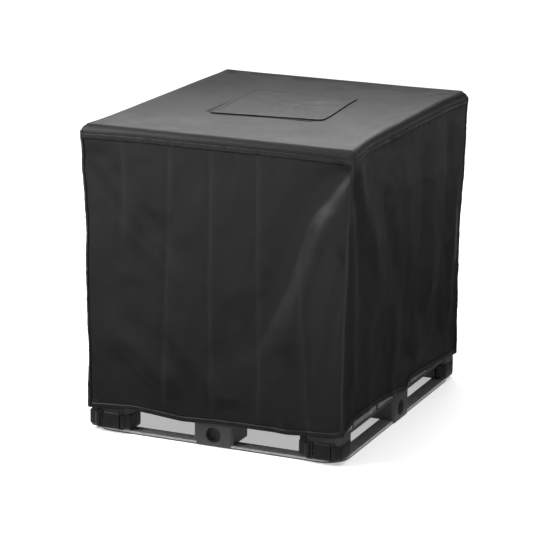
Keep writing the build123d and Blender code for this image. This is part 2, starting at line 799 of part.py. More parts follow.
for corner_name, corner in corners.items():
    facing = corner["facing"]
    bar_start = corner["bar_start"]
    bar_end = bar_start + bar_span
    foot_plane = Plane(
        origin=(corner["foot"][0], corner["foot"][1], 0), x_dir=(facing, 0, 0), z_dir=(0, 0, 1)
    )
    # Stands on the buckle's middle plane: X as above, Y up, Z out of the foot's face
    buckle_plane = Plane(
        origin=(
            corner["foot"][0] + facing * bar_start,
            corner["foot"][1] - facing * bar_stand_off,
            belt_middle,
        ),
        x_dir=(facing, 0, 0),
        z_dir=(0, -facing, 0),
    )

    with BuildPart() as strap:
        ring_inner = bar_diameter / 2 + bar_clearance
        ring_outer = ring_inner + belt_thickness
        with BuildSketch(foot_plane.offset(belt_rise)):
            with Locations((corner_foot_width / 2, corner_foot_depth / 2)):
                RectangleRounded(
                    corner_foot_width + 2 * belt_outside,
                    corner_foot_depth + 2 * belt_outside,
                    foot_round + belt_outside,
                )
                RectangleRounded(
                    corner_foot_width + 2 * belt_clearance,
                    corner_foot_depth + 2 * belt_clearance,
                    foot_round + belt_clearance,
                    mode=Mode.SUBTRACT,
                )
            with Locations((bar_start + bar_span / 2, 0)):
                Rectangle(bar_span + 2 * ramp_length, 3 * belt_outside, mode=Mode.SUBTRACT)
            # Each end slopes out to its bar and is folded round it
            for bar, outward in ((bar_start, -1), (bar_end, 1)):
                with BuildLine():
                    Polyline(
                        (bar + outward * ramp_length, -belt_clearance),
                        (bar + outward * ramp_length, -belt_outside),
                        (bar, -bar_stand_off + ring_inner),
                        (bar, -bar_stand_off + ring_outer),
                        close=True,
                    )
                make_face()
            with Locations((bar_start, -bar_stand_off), (bar_end, -bar_stand_off)):
                Circle(ring_outer)
                Circle(ring_inner, mode=Mode.SUBTRACT)
        extrude(amount=belt_width)
        hem_overlap = front_hem + tab_tuck - belt_rise
        with BuildSketch(foot_plane.offset(belt_rise)):
            tab_out = belt_outside + belt_thickness / 2
            tab_y = corner_foot_depth + tab_out if corner["tab_behind"] else -tab_out
            with Locations((corner["tab"], tab_y)):
                Rectangle(tab_width, belt_thickness)
        extrude(amount=hem_overlap)
    finish(strap.part, f"strap_{corner_name}")

    with BuildPart() as plug:
        # Frame that holds the webbing's bar, with a tongue that enters the socket
        with BuildSketch(buckle_plane.offset(-plug_thickness / 2)):
            base_middle = (plug_base_start + plug_base_end) / 2
            arm_middle = buckle_half_height - arm_thickness / 2 + arm_proud
            with Locations((base_middle, 0)):
                Rectangle(plug_base_end - plug_base_start, 2 * arm_middle)
            with Locations(
                ((plug_base_end - arm_overhang) / 2, arm_middle),
                ((plug_base_end - arm_overhang) / 2, -arm_middle),
            ):
                Rectangle(plug_base_end + arm_overhang, arm_thickness)
            with Locations(((plug_base_end + tongue_end) / 2, 0)):
                Rectangle(tongue_end - plug_base_end, tongue_height)
        extrude(amount=plug_thickness)
        with Locations(buckle_plane):
            Cylinder(bar_diameter / 2, 2 * arm_middle, rotation=(90, 0, 0))
    finish(plug.part, f"buckle_plug_{corner_name}")

    with BuildPart() as socket:
        socket_middle = (socket_start + socket_end) / 2
        socket_length = socket_end - socket_start
        arm_length = bar_span + arm_overhang - socket_end
        with BuildSketch(buckle_plane.offset(-buckle_thickness / 2)):
            with Locations((socket_middle, 0)):
                RectangleRounded(socket_length, 2 * buckle_half_height, arm_thickness)
        extrude(amount=buckle_thickness)
        fillet(socket.faces().filter_by(Axis.Y).edges(), socket_wall)
        with BuildSketch(buckle_plane.offset(-buckle_thickness / 2 + socket_wall)):
            cavity_length = socket_length - 2 * socket_wall
            with Locations((socket_start + cavity_length / 2, 0)):
                Rectangle(cavity_length, 2 * (buckle_half_height - socket_wall))
            window_middle = (window_start + window_end) / 2
            with Locations((window_middle, buckle_half_height), (window_middle, -buckle_half_height)):
                Rectangle(window_end - window_start, 4 * socket_wall)
        extrude(amount=buckle_thickness - 2 * socket_wall, mode=Mode.SUBTRACT)
        with BuildSketch(buckle_plane.offset(-plug_thickness / 2)):
            arm_place = buckle_half_height - arm_thickness / 2 + arm_proud
            arm_centre = socket_end + arm_length / 2 - socket_wall
            with Locations((arm_centre, arm_place), (arm_centre, -arm_place)):
                Rectangle(arm_length + 2 * socket_wall, arm_thickness)
        extrude(amount=plug_thickness)
        with Locations(buckle_plane * Pos(bar_span, 0, 0)):
            Cylinder(bar_diameter / 2, 2 * arm_place, rotation=(90, 0, 0))
    finish(socket.part, f"buckle_socket_{corner_name}")

    for prong_name, up in (("upper", 1), ("lower", -1)):
        with BuildPart() as prong:
            with BuildSketch(buckle_plane.offset(-plug_thickness / 2)):
                with BuildLine():
                    Polyline(
                        (prong_pivot, up * (prong_rise - prong_root_radius)),
                        (window_start, up * (prong_rise - prong_root_radius)),
                        (prong_tip - prong_root_radius, up * prong_rise),
                        (prong_tip, up * (prong_rise + prong_root_radius)),
                        (prong_tip, up * prong_button),
                        (window_start + prong_play, up * prong_button),
                        (window_start - prong_play, up * (prong_rise + prong_root_radius)),
                        (prong_pivot, up * (prong_rise + prong_root_radius)),
                        close=True,
                    )
                make_face()
                with Locations((prong_pivot, up * prong_rise)):
                    Circle(prong_root_radius)
            extrude(amount=plug_thickness)
        finish(prong.part, f"buckle_prong_{prong_name}_{corner_name}")
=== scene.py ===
import json
import math
import bpy
import numpy as np
from mathutils import Matrix, Vector, noise

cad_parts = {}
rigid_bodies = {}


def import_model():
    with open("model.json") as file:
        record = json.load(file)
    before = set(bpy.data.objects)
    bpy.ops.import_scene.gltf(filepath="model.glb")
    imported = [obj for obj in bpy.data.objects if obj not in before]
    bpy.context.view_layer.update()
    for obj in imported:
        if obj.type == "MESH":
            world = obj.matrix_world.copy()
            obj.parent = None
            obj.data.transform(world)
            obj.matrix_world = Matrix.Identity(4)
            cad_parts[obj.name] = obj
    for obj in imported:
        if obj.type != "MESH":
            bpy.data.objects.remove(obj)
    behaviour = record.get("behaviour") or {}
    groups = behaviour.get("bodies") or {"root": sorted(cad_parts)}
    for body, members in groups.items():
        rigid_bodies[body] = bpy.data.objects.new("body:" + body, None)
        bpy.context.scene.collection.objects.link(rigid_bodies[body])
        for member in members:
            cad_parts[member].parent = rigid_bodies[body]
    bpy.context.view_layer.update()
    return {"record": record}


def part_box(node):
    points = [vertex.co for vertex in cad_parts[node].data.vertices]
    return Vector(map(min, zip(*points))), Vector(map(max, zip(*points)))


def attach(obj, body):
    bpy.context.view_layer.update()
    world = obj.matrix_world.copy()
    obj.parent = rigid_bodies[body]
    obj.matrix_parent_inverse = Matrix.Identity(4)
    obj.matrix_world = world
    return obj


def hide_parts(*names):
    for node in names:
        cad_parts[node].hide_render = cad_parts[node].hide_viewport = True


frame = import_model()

print("frame loaded")


def clearSelection():
    if bpy.context.mode != "OBJECT":
        bpy.ops.object.mode_set(mode="OBJECT")
    bpy.ops.object.select_all(action="DESELECT")


def named(pieceName):
    piece = bpy.context.active_object
    piece.name = pieceName
    piece.data.name = pieceName
    return piece


def takeUp(piece):
    clearSelection()
    piece.select_set(True)
    bpy.context.view_layer.objects.active = piece


def editMode():
    bpy.ops.object.mode_set(mode="EDIT")


def objectMode():
    bpy.ops.object.mode_set(mode="OBJECT")


def selectWhole():
    bpy.ops.mesh.select_all(action="SELECT")


def editWhole():
    editMode()
    selectWhole()


def dropFaces():
    # deletes the selected faces and takes up all that is left
    bpy.ops.mesh.select_mode(type="FACE")
    bpy.ops.mesh.delete(type="FACE")
    selectWhole()


def boxInEdit(pieceName, low, high):
    # a cube primitive stretched in edit mode, so the object stays at the origin
    clearSelection()
    bpy.ops.mesh.primitive_cube_add(size=1, location=(0, 0, 0))
    piece = named(pieceName)
    editWhole()
    bpy.ops.transform.resize(value=[high[i] - low[i] for i in range(3)])
    bpy.ops.transform.translate(value=[(high[i] + low[i]) / 2 for i in range(3)])
    objectMode()
    return piece


def pickFaces(piece, test):
    # selects the faces whose centre and normal pass the test
    objectMode()
    for part in (piece.data.vertices, piece.data.edges):
        part.foreach_set("select", [False] * len(part))
    for face in piece.data.polygons:
        face.select = bool(test(face.center, face.normal))
    editMode()
    bpy.ops.mesh.select_mode(type="FACE")


def applyAll(piece):
    takeUp(piece)
    for modifier in list(piece.modifiers):
        bpy.ops.object.modifier_apply(modifier=modifier.name)


def thicken(piece, thickness, offset=0.0, rounding=0.0):
    # gives a sheet its thickness, and rounds its edges where asked
    wall = piece.modifiers.new("wall", "SOLIDIFY")
    wall.thickness = thickness
    wall.offset = offset
    if rounding:
        soft = piece.modifiers.new("soft", "BEVEL")
        soft.width = rounding
        soft.segments = 2
        soft.limit_method = "ANGLE"
    applyAll(piece)


def smoothByAngle(piece, degrees):
    takeUp(piece)
    bpy.ops.object.shade_smooth_by_angle(angle=math.radians(degrees))


def places(piece):
    points = np.zeros(len(piece.data.vertices) * 3)
    piece.data.vertices.foreach_get("co", points)
    return points.reshape(-1, 3)


def setPlaces(piece, points):
    piece.data.vertices.foreach_set("co", points.ravel())
    piece.data.update()


def copyOf(piece, pieceName):
    twin = piece.copy()
    twin.data = piece.data.copy()
    twin.name = pieceName
    twin.data.name = pieceName
    bpy.context.collection.objects.link(twin)
    return twin


def softNoise(points, size, seed, depth=3):
    return np.array([
        noise.fractal(Vector(p) / size + Vector((seed, seed * 0.7, seed * 1.3)), 1.0, 2.0, depth)
        for p in points
    ])


def uneven(points, spec):
    return softNoise(points, spec["size"], spec["seed"], spec.get("depth", 3)) * spec["height"]


def fade(value, low, high):
    t = np.clip((value - low) / (high - low), 0, 1)
    return t * t * (3 - 2 * t)


def lineDistance(u, v, line):
    # distance from (u, v) to a run of points, and how far along the nearest place is
    best = np.full(u.shape, 9.0)
    along = np.zeros(u.shape)
    side = np.zeros(u.shape)
    pieces = len(line) - 1
    for k in range(pieces):
        a = np.array(line[k])
        b = np.array(line[k + 1])
        run = b - a
        t = np.clip(((u - a[0]) * run[0] + (v - a[1]) * run[1]) / (run @ run), 0, 1)
        du = u - a[0] - t * run[0]
        dv = v - a[1] - t * run[1]
        d = np.hypot(du, dv)
        near = d < best
        best = np.where(near, d, best)
        along = np.where(near, (k + t) / pieces, along)
        side = np.where(near, np.sign(run[0] * dv - run[1] * du), side)
    return best, along, side


def stroke(line, width, height, ends, lean=0.0):
    # a fold in the cloth: its line in metres, the share of it over which each end fades, and its lean
    return {"line": line, "width": width, "height": height, "ends": ends, "lean": lean}


def sculpt(u, v, strokes):
    height = np.zeros(u.shape)
    for fold in strokes:
        d, along, side = lineDistance(u, v, fold["line"])
        taper = np.ones(u.shape)
        for share, reach in zip((along, 1 - along), fold["ends"]):
            if reach:
                taper = taper * fade(share, 0, reach)
        width = fold["width"] * (1 + fold["lean"] * side)
        height += fold["height"] * taper * np.exp(-(d / width) ** 2)
    return height


def newGroup(groupName, inputs, outputs):
    group = bpy.data.node_groups.new(groupName, "ShaderNodeTree")
    for label, kind, value in inputs:
        socket = group.interface.new_socket(name=label, in_out="INPUT", socket_type=kind)
        if value is not None:
            socket.default_value = value
    for label, kind in outputs:
        group.interface.new_socket(name=label, in_out="OUTPUT", socket_type=kind)
    return group, group.nodes.new("NodeGroupInput").outputs, group.nodes.new("NodeGroupOutput")


def node(tree, kind, settings=None, links=None):
    made = tree.nodes.new("ShaderNode" + kind)
    for key, value in (settings or {}).items():
        if isinstance(key, str) and hasattr(made, key):
            setattr(made, key, value)
        else:
            made.inputs[key].default_value = value
    for key, source in (links or {}).items():
        tree.links.new(source, made.inputs[key])
    return made


def mathNode(tree, operation, a, b=None, c=None):
    made = node(tree, "Math")
    made.operation = operation
    for place, value in enumerate((a, b, c)):
        if value is None:
            continue
        if isinstance(value, (int, float)):
            made.inputs[place].default_value = value
        else:
            tree.links.new(value, made.inputs[place])
    return made.outputs[0]


def mixColour(tree, factor, a, b, blend="MIX"):
    made = node(tree, "Mix")
    made.data_type = "RGBA"
    made.blend_type = blend
    for place, value in ((0, factor), (6, a), (7, b)):
        if isinstance(value, (int, float, tuple)):
            made.inputs[place].default_value = value
        else:
            tree.links.new(value, made.inputs[place])
    return made.outputs[2]


def ramp(tree, source, stops):
    made = node(tree, "ValToRGB")
    elements = made.color_ramp.elements
    while len(elements) < len(stops):
        elements.new(0.5)
    for element, (place, value) in zip(elements, stops):
        element.position = place
        element.color = (value, value, value, 1)
    tree.links.new(source, made.inputs[0])
    return made.outputs[0]


floatIn = "NodeSocketFloat"
vectorIn = "NodeSocketVector"


def buildWeave():
    # plain weave: two crossed sets of threads with a slubby unevenness
    group, given, out = newGroup(
        "plainWeave",
        [("Vector", vectorIn, None), ("Threads per metre", floatIn, 1400.0), ("Slub", floatIn, 0.3)],
        [("Height", floatIn), ("Thread", floatIn)],
    )
    scaled = node(group, "VectorMath", {"operation": "SCALE"},
                  {0: given["Vector"], "Scale": given["Threads per metre"]})
    parts = node(group, "SeparateXYZ", None, {0: scaled.outputs[0]})
    across = mathNode(group, "SINE", mathNode(group, "MULTIPLY", parts.outputs[0], math.pi))
    down = mathNode(group, "SINE", mathNode(group, "MULTIPLY", parts.outputs[1], math.pi))
    crossing = mathNode(group, "MULTIPLY", across, down)
    slub = node(group, "TexNoise", {"Scale": 0.12, "Detail": 3.0}, {"Vector": scaled.outputs[0]})
    lift = mathNode(group, "MULTIPLY", mathNode(group, "SUBTRACT", slub.outputs["Fac"], 0.5),
                    given["Slub"])
    height = mathNode(group, "ADD", mathNode(group, "MULTIPLY_ADD", crossing, 0.5, 0.5), lift)
    group.links.new(height, out.inputs["Height"])
    group.links.new(mathNode(group, "ABSOLUTE", crossing), out.inputs["Thread"])
    return group


def buildGrime():
    # soft clouds with fine specks, for dust and handling marks
    group, given, out = newGroup(
        "grime",
        [("Vector", vectorIn, None), ("Cloud size", floatIn, 4.0), ("Speck size", floatIn, 220.0)],
        [("Cloud", floatIn), ("Speck", floatIn)],
    )
    cloud = node(group, "TexNoise", {"Detail": 5.0, "Roughness": 0.6},
                 {"Vector": given["Vector"], "Scale": given["Cloud size"]})
    speck = node(group, "TexNoise", {"Detail": 2.0, "Roughness": 0.7},
                 {"Vector": given["Vector"], "Scale": given["Speck size"]})
    group.links.new(ramp(group, cloud.outputs["Fac"], [(0.35, 0.0), (0.7, 1.0)]), out.inputs["Cloud"])
    group.links.new(ramp(group, speck.outputs["Fac"], [(0.55, 0.0), (0.75, 1.0)]), out.inputs["Speck"])
    return group


def buildSpangle():
    # zinc crystals and drawn streaks of galvanised steel
    group, given, out = newGroup(
        "zincSpangle",
        [("Vector", vectorIn, None), ("Crystal size", floatIn, 90.0)],
        [("Crystal", floatIn), ("Streak", floatIn)],
    )
    crystal = node(group, "TexVoronoi", {"feature": "F1"},
                   {"Vector": given["Vector"], "Scale": given["Crystal size"]})
    grey = node(group, "SeparateColor", None, {0: crystal.outputs["Color"]})
    streak = node(group, "TexNoise", {"Scale": 30.0, "Detail": 4.0},
                  {"Vector": given["Vector"]})
    group.links.new(grey.outputs[0], out.inputs["Crystal"])
    group.links.new(streak.outputs["Fac"], out.inputs["Streak"])
    return group


def buildMouldGrain():
    # the fine sand-blasted grain and flow clouds of moulded plastic
    group, given, out = newGroup(
        "mouldGrain",
        [("Vector", vectorIn, None), ("Grain size", floatIn, 900.0)],
        [("Grain", floatIn), ("Flow", floatIn)],
    )
    grain = node(group, "TexNoise", {"Detail": 3.0},
                 {"Vector": given["Vector"], "Scale": given["Grain size"]})
    flow = node(group, "TexNoise", {"Scale": 9.0, "Detail": 4.0, "Distortion": 0.6},
                {"Vector": given["Vector"]})
    group.links.new(grain.outputs["Fac"], out.inputs["Grain"])
    group.links.new(flow.outputs["Fac"], out.inputs["Flow"])
    return group


weaveGroup = buildWeave()
grimeGroup = buildGrime()
spangleGroup = buildSpangle()
grainGroup = buildMouldGrain()


def newMaterial(materialName):
    material = bpy.data.materials.new(materialName)
    material.use_nodes = True
    tree = material.node_tree
    shader = tree.nodes["Principled BSDF"]
    return material, tree, shader


def feed(tree, shader, sockets):
    # a plain value is set on the socket, and a node's output is linked to it
    for key, value in sockets.items():
        if isinstance(value, bpy.types.NodeSocket):
            tree.links.new(value, shader.inputs[key])
        else:
            shader.inputs[key].default_value = value


def placed(tree, group, source, values):
    made = node(tree, "Group")
    made.node_tree = group
    tree.links.new(source, made.inputs["Vector"])
    for key, value in values.items():
        made.inputs[key].default_value = value
    return made


def bumped(tree, shader, height, strength, distance, before=None):
    bump = node(tree, "Bump", {"Strength": strength, "Distance": distance}, {"Height": height})
    if before is not None:
        tree.links.new(before, bump.inputs["Normal"])
    tree.links.new(bump.outputs[0], shader.inputs["Normal"])
    return bump.outputs[0]


def objectPlace(tree):
    return node(tree, "TexCoord").outputs["Object"]


def clothMaterial(materialName, spec):
    material, tree, shader = newMaterial(materialName)
    where = objectPlace(tree)
    laid = node(tree, "UVMap", {"uv_map": "cut"}).outputs[0] if spec["uv"] else where
    weave = placed(tree, weaveGroup, laid, {"Threads per metre": spec["threads"], "Slub": spec["slub"]})
    grime = placed(tree, grimeGroup, where, spec["grime"])
    base = mixColour(tree, weave.outputs["Thread"], spec["valley"], spec["thread"])
    for mark, share, colour in (("Cloud", "cloudShow", "faded"), ("Speck", "speckShow", "dust")):
        amount = mathNode(tree, "MULTIPLY", grime.outputs[mark], spec[share])
        base = mixColour(tree, amount, base, spec[colour])
    if spec["creaseShow"]:
        crease = node(tree, "Attribute", {"attribute_name": "crease"}).outputs["Fac"]
        base = mixColour(tree, mathNode(tree, "MULTIPLY", crease, spec["creaseShow"]), base, spec["dust"])
    rough = mathNode(tree, "MULTIPLY_ADD", grime.outputs["Cloud"], spec["cloudRough"], spec["rough"])
    feed(tree, shader, {"Base Color": base, "Roughness": rough, "Specular IOR Level": spec["specular"],
                        "Sheen Weight": spec["sheen"], "Sheen Roughness": spec["sheenRough"]})
    ripple = node(tree, "TexNoise", {"Scale": 34.0, "Detail": 4.0, "Roughness": 0.55},
                  {"Vector": where})
    first = node(tree, "Bump", {"Strength": 0.5, "Distance": spec["ripple"]},
                 {"Height": ripple.outputs["Fac"]})
    bumped(tree, shader, weave.outputs["Height"], spec["weaveShow"], spec["weaveDepth"], first.outputs[0])
    return material


plasticSpec = {"grime": {"Cloud size": 7.0, "Speck size": 180.0}, "speckShow": 0.25, "cloudRough": 0.14,
               "specular": 0.45, "grainShow": 0.25, "bump": 0.0003, "milky": 0.0,
               "milkyDepth": (0.02, 0.02, 0.018), "milkyClear": 0.25}


def plasticMaterial(materialName, **changes):
    spec = dict(plasticSpec, **changes)
    material, tree, shader = newMaterial(materialName)
    where = objectPlace(tree)
    grain = placed(tree, grainGroup, where, {"Grain size": spec["grain"]})
    grime = placed(tree, grimeGroup, where, spec["grime"])
    base = mixColour(tree, grain.outputs["Flow"], spec["dark"], spec["light"])
    dusty = mathNode(tree, "MULTIPLY", grime.outputs["Speck"], spec["speckShow"])
    rough = mathNode(tree, "MULTIPLY_ADD", grime.outputs["Cloud"], spec["cloudRough"], spec["rough"])
    feed(tree, shader, {"Base Color": mixColour(tree, dusty, base, spec["dust"]), "Roughness": rough,
                        "Specular IOR Level": spec["specular"]})
    if spec["milky"]:
        feed(tree, shader, {"Subsurface Weight": spec["milky"], "Subsurface Radius": spec["milkyDepth"],
                            "Transmission Weight": spec["milkyClear"]})
    bumped(tree, shader, grain.outputs["Grain"], spec["grainShow"], spec["bump"])
    return material


steelSpec = {"grime": {"Cloud size": 5.0, "Speck size": 150.0}, "cloudShow": 0.25, "streakRough": 0.22,
             "crystalShow": 0.15, "crystalDepth": 0.0002, "edge": None}


def steelMaterial(materialName, **changes):
    spec = dict(steelSpec, **changes)
    material, tree, shader = newMaterial(materialName)
    where = objectPlace(tree)
    spangle = placed(tree, spangleGroup, where, {"Crystal size": spec["crystal"]})
    grime = placed(tree, grimeGroup, where, spec["grime"])
    base = mixColour(tree, spangle.outputs["Crystal"], spec["dark"], spec["light"])
    cloudy = mathNode(tree, "MULTIPLY", grime.outputs["Cloud"], spec["cloudShow"])
    base = mixColour(tree, cloudy, base, spec["dull"])
    if spec["edge"]:
        # painted shade: upright faces are darkened along the two folded edges of the channel, where shade falls
        # on the bends and at the floor
        fold = spec["edge"]
        height = node(tree, "SeparateXYZ", None, {0: where}).outputs[2]
        off = mathNode(tree, "ABSOLUTE", mathNode(tree, "SUBTRACT", height, fold["middle"]))
        paintedEdgeShade = ramp(tree, mathNode(tree, "DIVIDE", off, 2 * fold["reach"]), [(0.40, 0.0), (0.62, 1.0)])
        facing = node(tree, "SeparateXYZ", None,
                      {0: node(tree, "NewGeometry").outputs["Normal"]}).outputs[2]
        upright = mathNode(tree, "SUBTRACT", 1.0, mathNode(tree, "ABSOLUTE", facing))
        paintedEdgeShade = mathNode(tree, "MULTIPLY", paintedEdgeShade, mathNode(tree, "MULTIPLY", upright, fold["show"]))
        base = mixColour(tree, paintedEdgeShade, base, fold["colour"])
    rough = mathNode(tree, "MULTIPLY_ADD", spangle.outputs["Streak"], spec["streakRough"], spec["rough"])
    feed(tree, shader, {"Base Color": base, "Metallic": spec["metal"], "Roughness": rough})
    bumped(tree, shader, spangle.outputs["Crystal"], spec["crystalShow"], spec["crystalDepth"])
    return material


def shade(level, tint=(1, 1, 1)):
    return (level * tint[0], level * tint[1], level * tint[2], 1)


warm = (1, 1, 0.97)
red = (1, 0.12, 0.08)
paleRed = (1, 0.13, 0.08)
clothSpec = {
    "uv": True, "threads": 1250.0, "slub": 0.5, "thread": shade(0.0105), "valley": shade(0.006),
    "faded": shade(0.013), "dust": shade(0.028), "cloudShow": 0.35, "speckShow": 0.12, "creaseShow": 0.30,
    "grime": {"Cloud size": 3.5, "Speck size": 260.0}, "rough": 0.42, "cloudRough": 0.10, "specular": 0.26,
    "sheen": 0.02, "sheenRough": 0.35, "ripple": 0.0010, "weaveShow": 0.35, "weaveDepth": 0.00025,
}
coverCloth = clothMaterial("coverFabric", clothSpec)
seamCloth = clothMaterial("seamFabric", dict(
    clothSpec, uv=False, thread=shade(0.014), valley=shade(0.008), threads=900.0, ripple=0.003, creaseShow=0))
tapeCloth = clothMaterial("tapeFabric", dict(
    clothSpec, uv=False, thread=shade(0.03), valley=shade(0.012), threads=500.0, rough=0.8, creaseShow=0))
webbingCloth = clothMaterial("webbingFabric", dict(
    clothSpec, thread=shade(0.010), valley=shade(0.003), threads=420.0, rough=0.62, ripple=0.0006,
    specular=0.35, creaseShow=0))
# the skid's edge setting paints shade as dark bands along the channel's two folded edges
skidSteel = steelMaterial(
    "skidSteel", crystal=90.0, dark=shade(0.30), light=shade(0.42), dull=shade(0.22), metal=0.75, rough=0.34,
    edge={"middle": 0.0085, "reach": 0.0035, "show": 0.85, "colour": shade(0.035)})
# painted shade: the clips' steel is nearly black, standing in for the shade that falls in the gaps at the clips
clipSteelPaintedShade = steelMaterial(
    "clipSteelPaintedShade", crystal=500.0, dark=shade(0.03), light=shade(0.06), dull=shade(0.03), metal=0.5, rough=0.5)
finishes = {
    "galvanised_steel": steelMaterial(
        "galvanisedSteel", crystal=90.0, dark=shade(0.62), light=shade(0.80), dull=shade(0.5), metal=0.85,
        rough=0.26),
    "zinc_plated_steel": steelMaterial(
        "zincSteel", crystal=400.0, dark=shade(0.5), light=shade(0.6), dull=shade(0.4), metal=0.9, rough=0.3),
    "pallet_plastic": plasticMaterial(
        "palletPlastic", grain=700.0, dark=shade(0.030, warm), light=shade(0.044, warm), dust=shade(0.11),
        rough=0.52, bump=0.0005),
    "bottle_plastic": plasticMaterial(
        "bottlePlastic", grain=400.0, dark=shade(0.78, warm), light=shade(0.88, warm), dust=shade(0.7),
        rough=0.38, bump=0.0004, milky=0.3),
    "cap_plastic": plasticMaterial(
        "capPlastic", grain=800.0, dark=shade(0.018), light=shade(0.028), dust=shade(0.08), rough=0.42,
        bump=0.0004),
    "valve_plastic": plasticMaterial(
        "valvePlastic", grain=800.0, dark=shade(0.70), light=shade(0.80), dust=shade(0.5), rough=0.35),
    "handle_plastic": plasticMaterial(
        "handlePlastic", grain=800.0, dark=shade(0.40, red), light=shade(0.5, paleRed), dust=shade(0.3),
        rough=0.34),
    "seal_rubber": plasticMaterial(
        "sealRubber", grain=1200.0, dark=shade(0.02), light=shade(0.03), dust=shade(0.07), rough=0.7),
    "buckle_plastic": plasticMaterial(
        "bucklePlastic", grain=1100.0, dark=shade(0.008), light=shade(0.014), dust=shade(0.04), rough=0.36),
    "cover_fabric": seamCloth, "tape_fabric": tapeCloth, "webbing": seamCloth,
}


def wear(piece, material):
    piece.data.materials.clear()
    piece.data.materials.append(material)


def dress(piece, material, body):
    wear(piece, material)
    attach(piece, body)


for subpart in frame["record"]["subparts"]:
    cadObject = bpy.data.objects[subpart["node"]]
    material = finishes[subpart["material_slot"]]
    if cadObject.material_slots:
        for materialSlot in cadObject.material_slots:
            materialSlot.material = material
    else:
        cadObject.data.materials.append(material)
for materialSlot in bpy.data.objects["bottom_skid"].material_slots:
    materialSlot.material = skidSteel
print("materials ready")


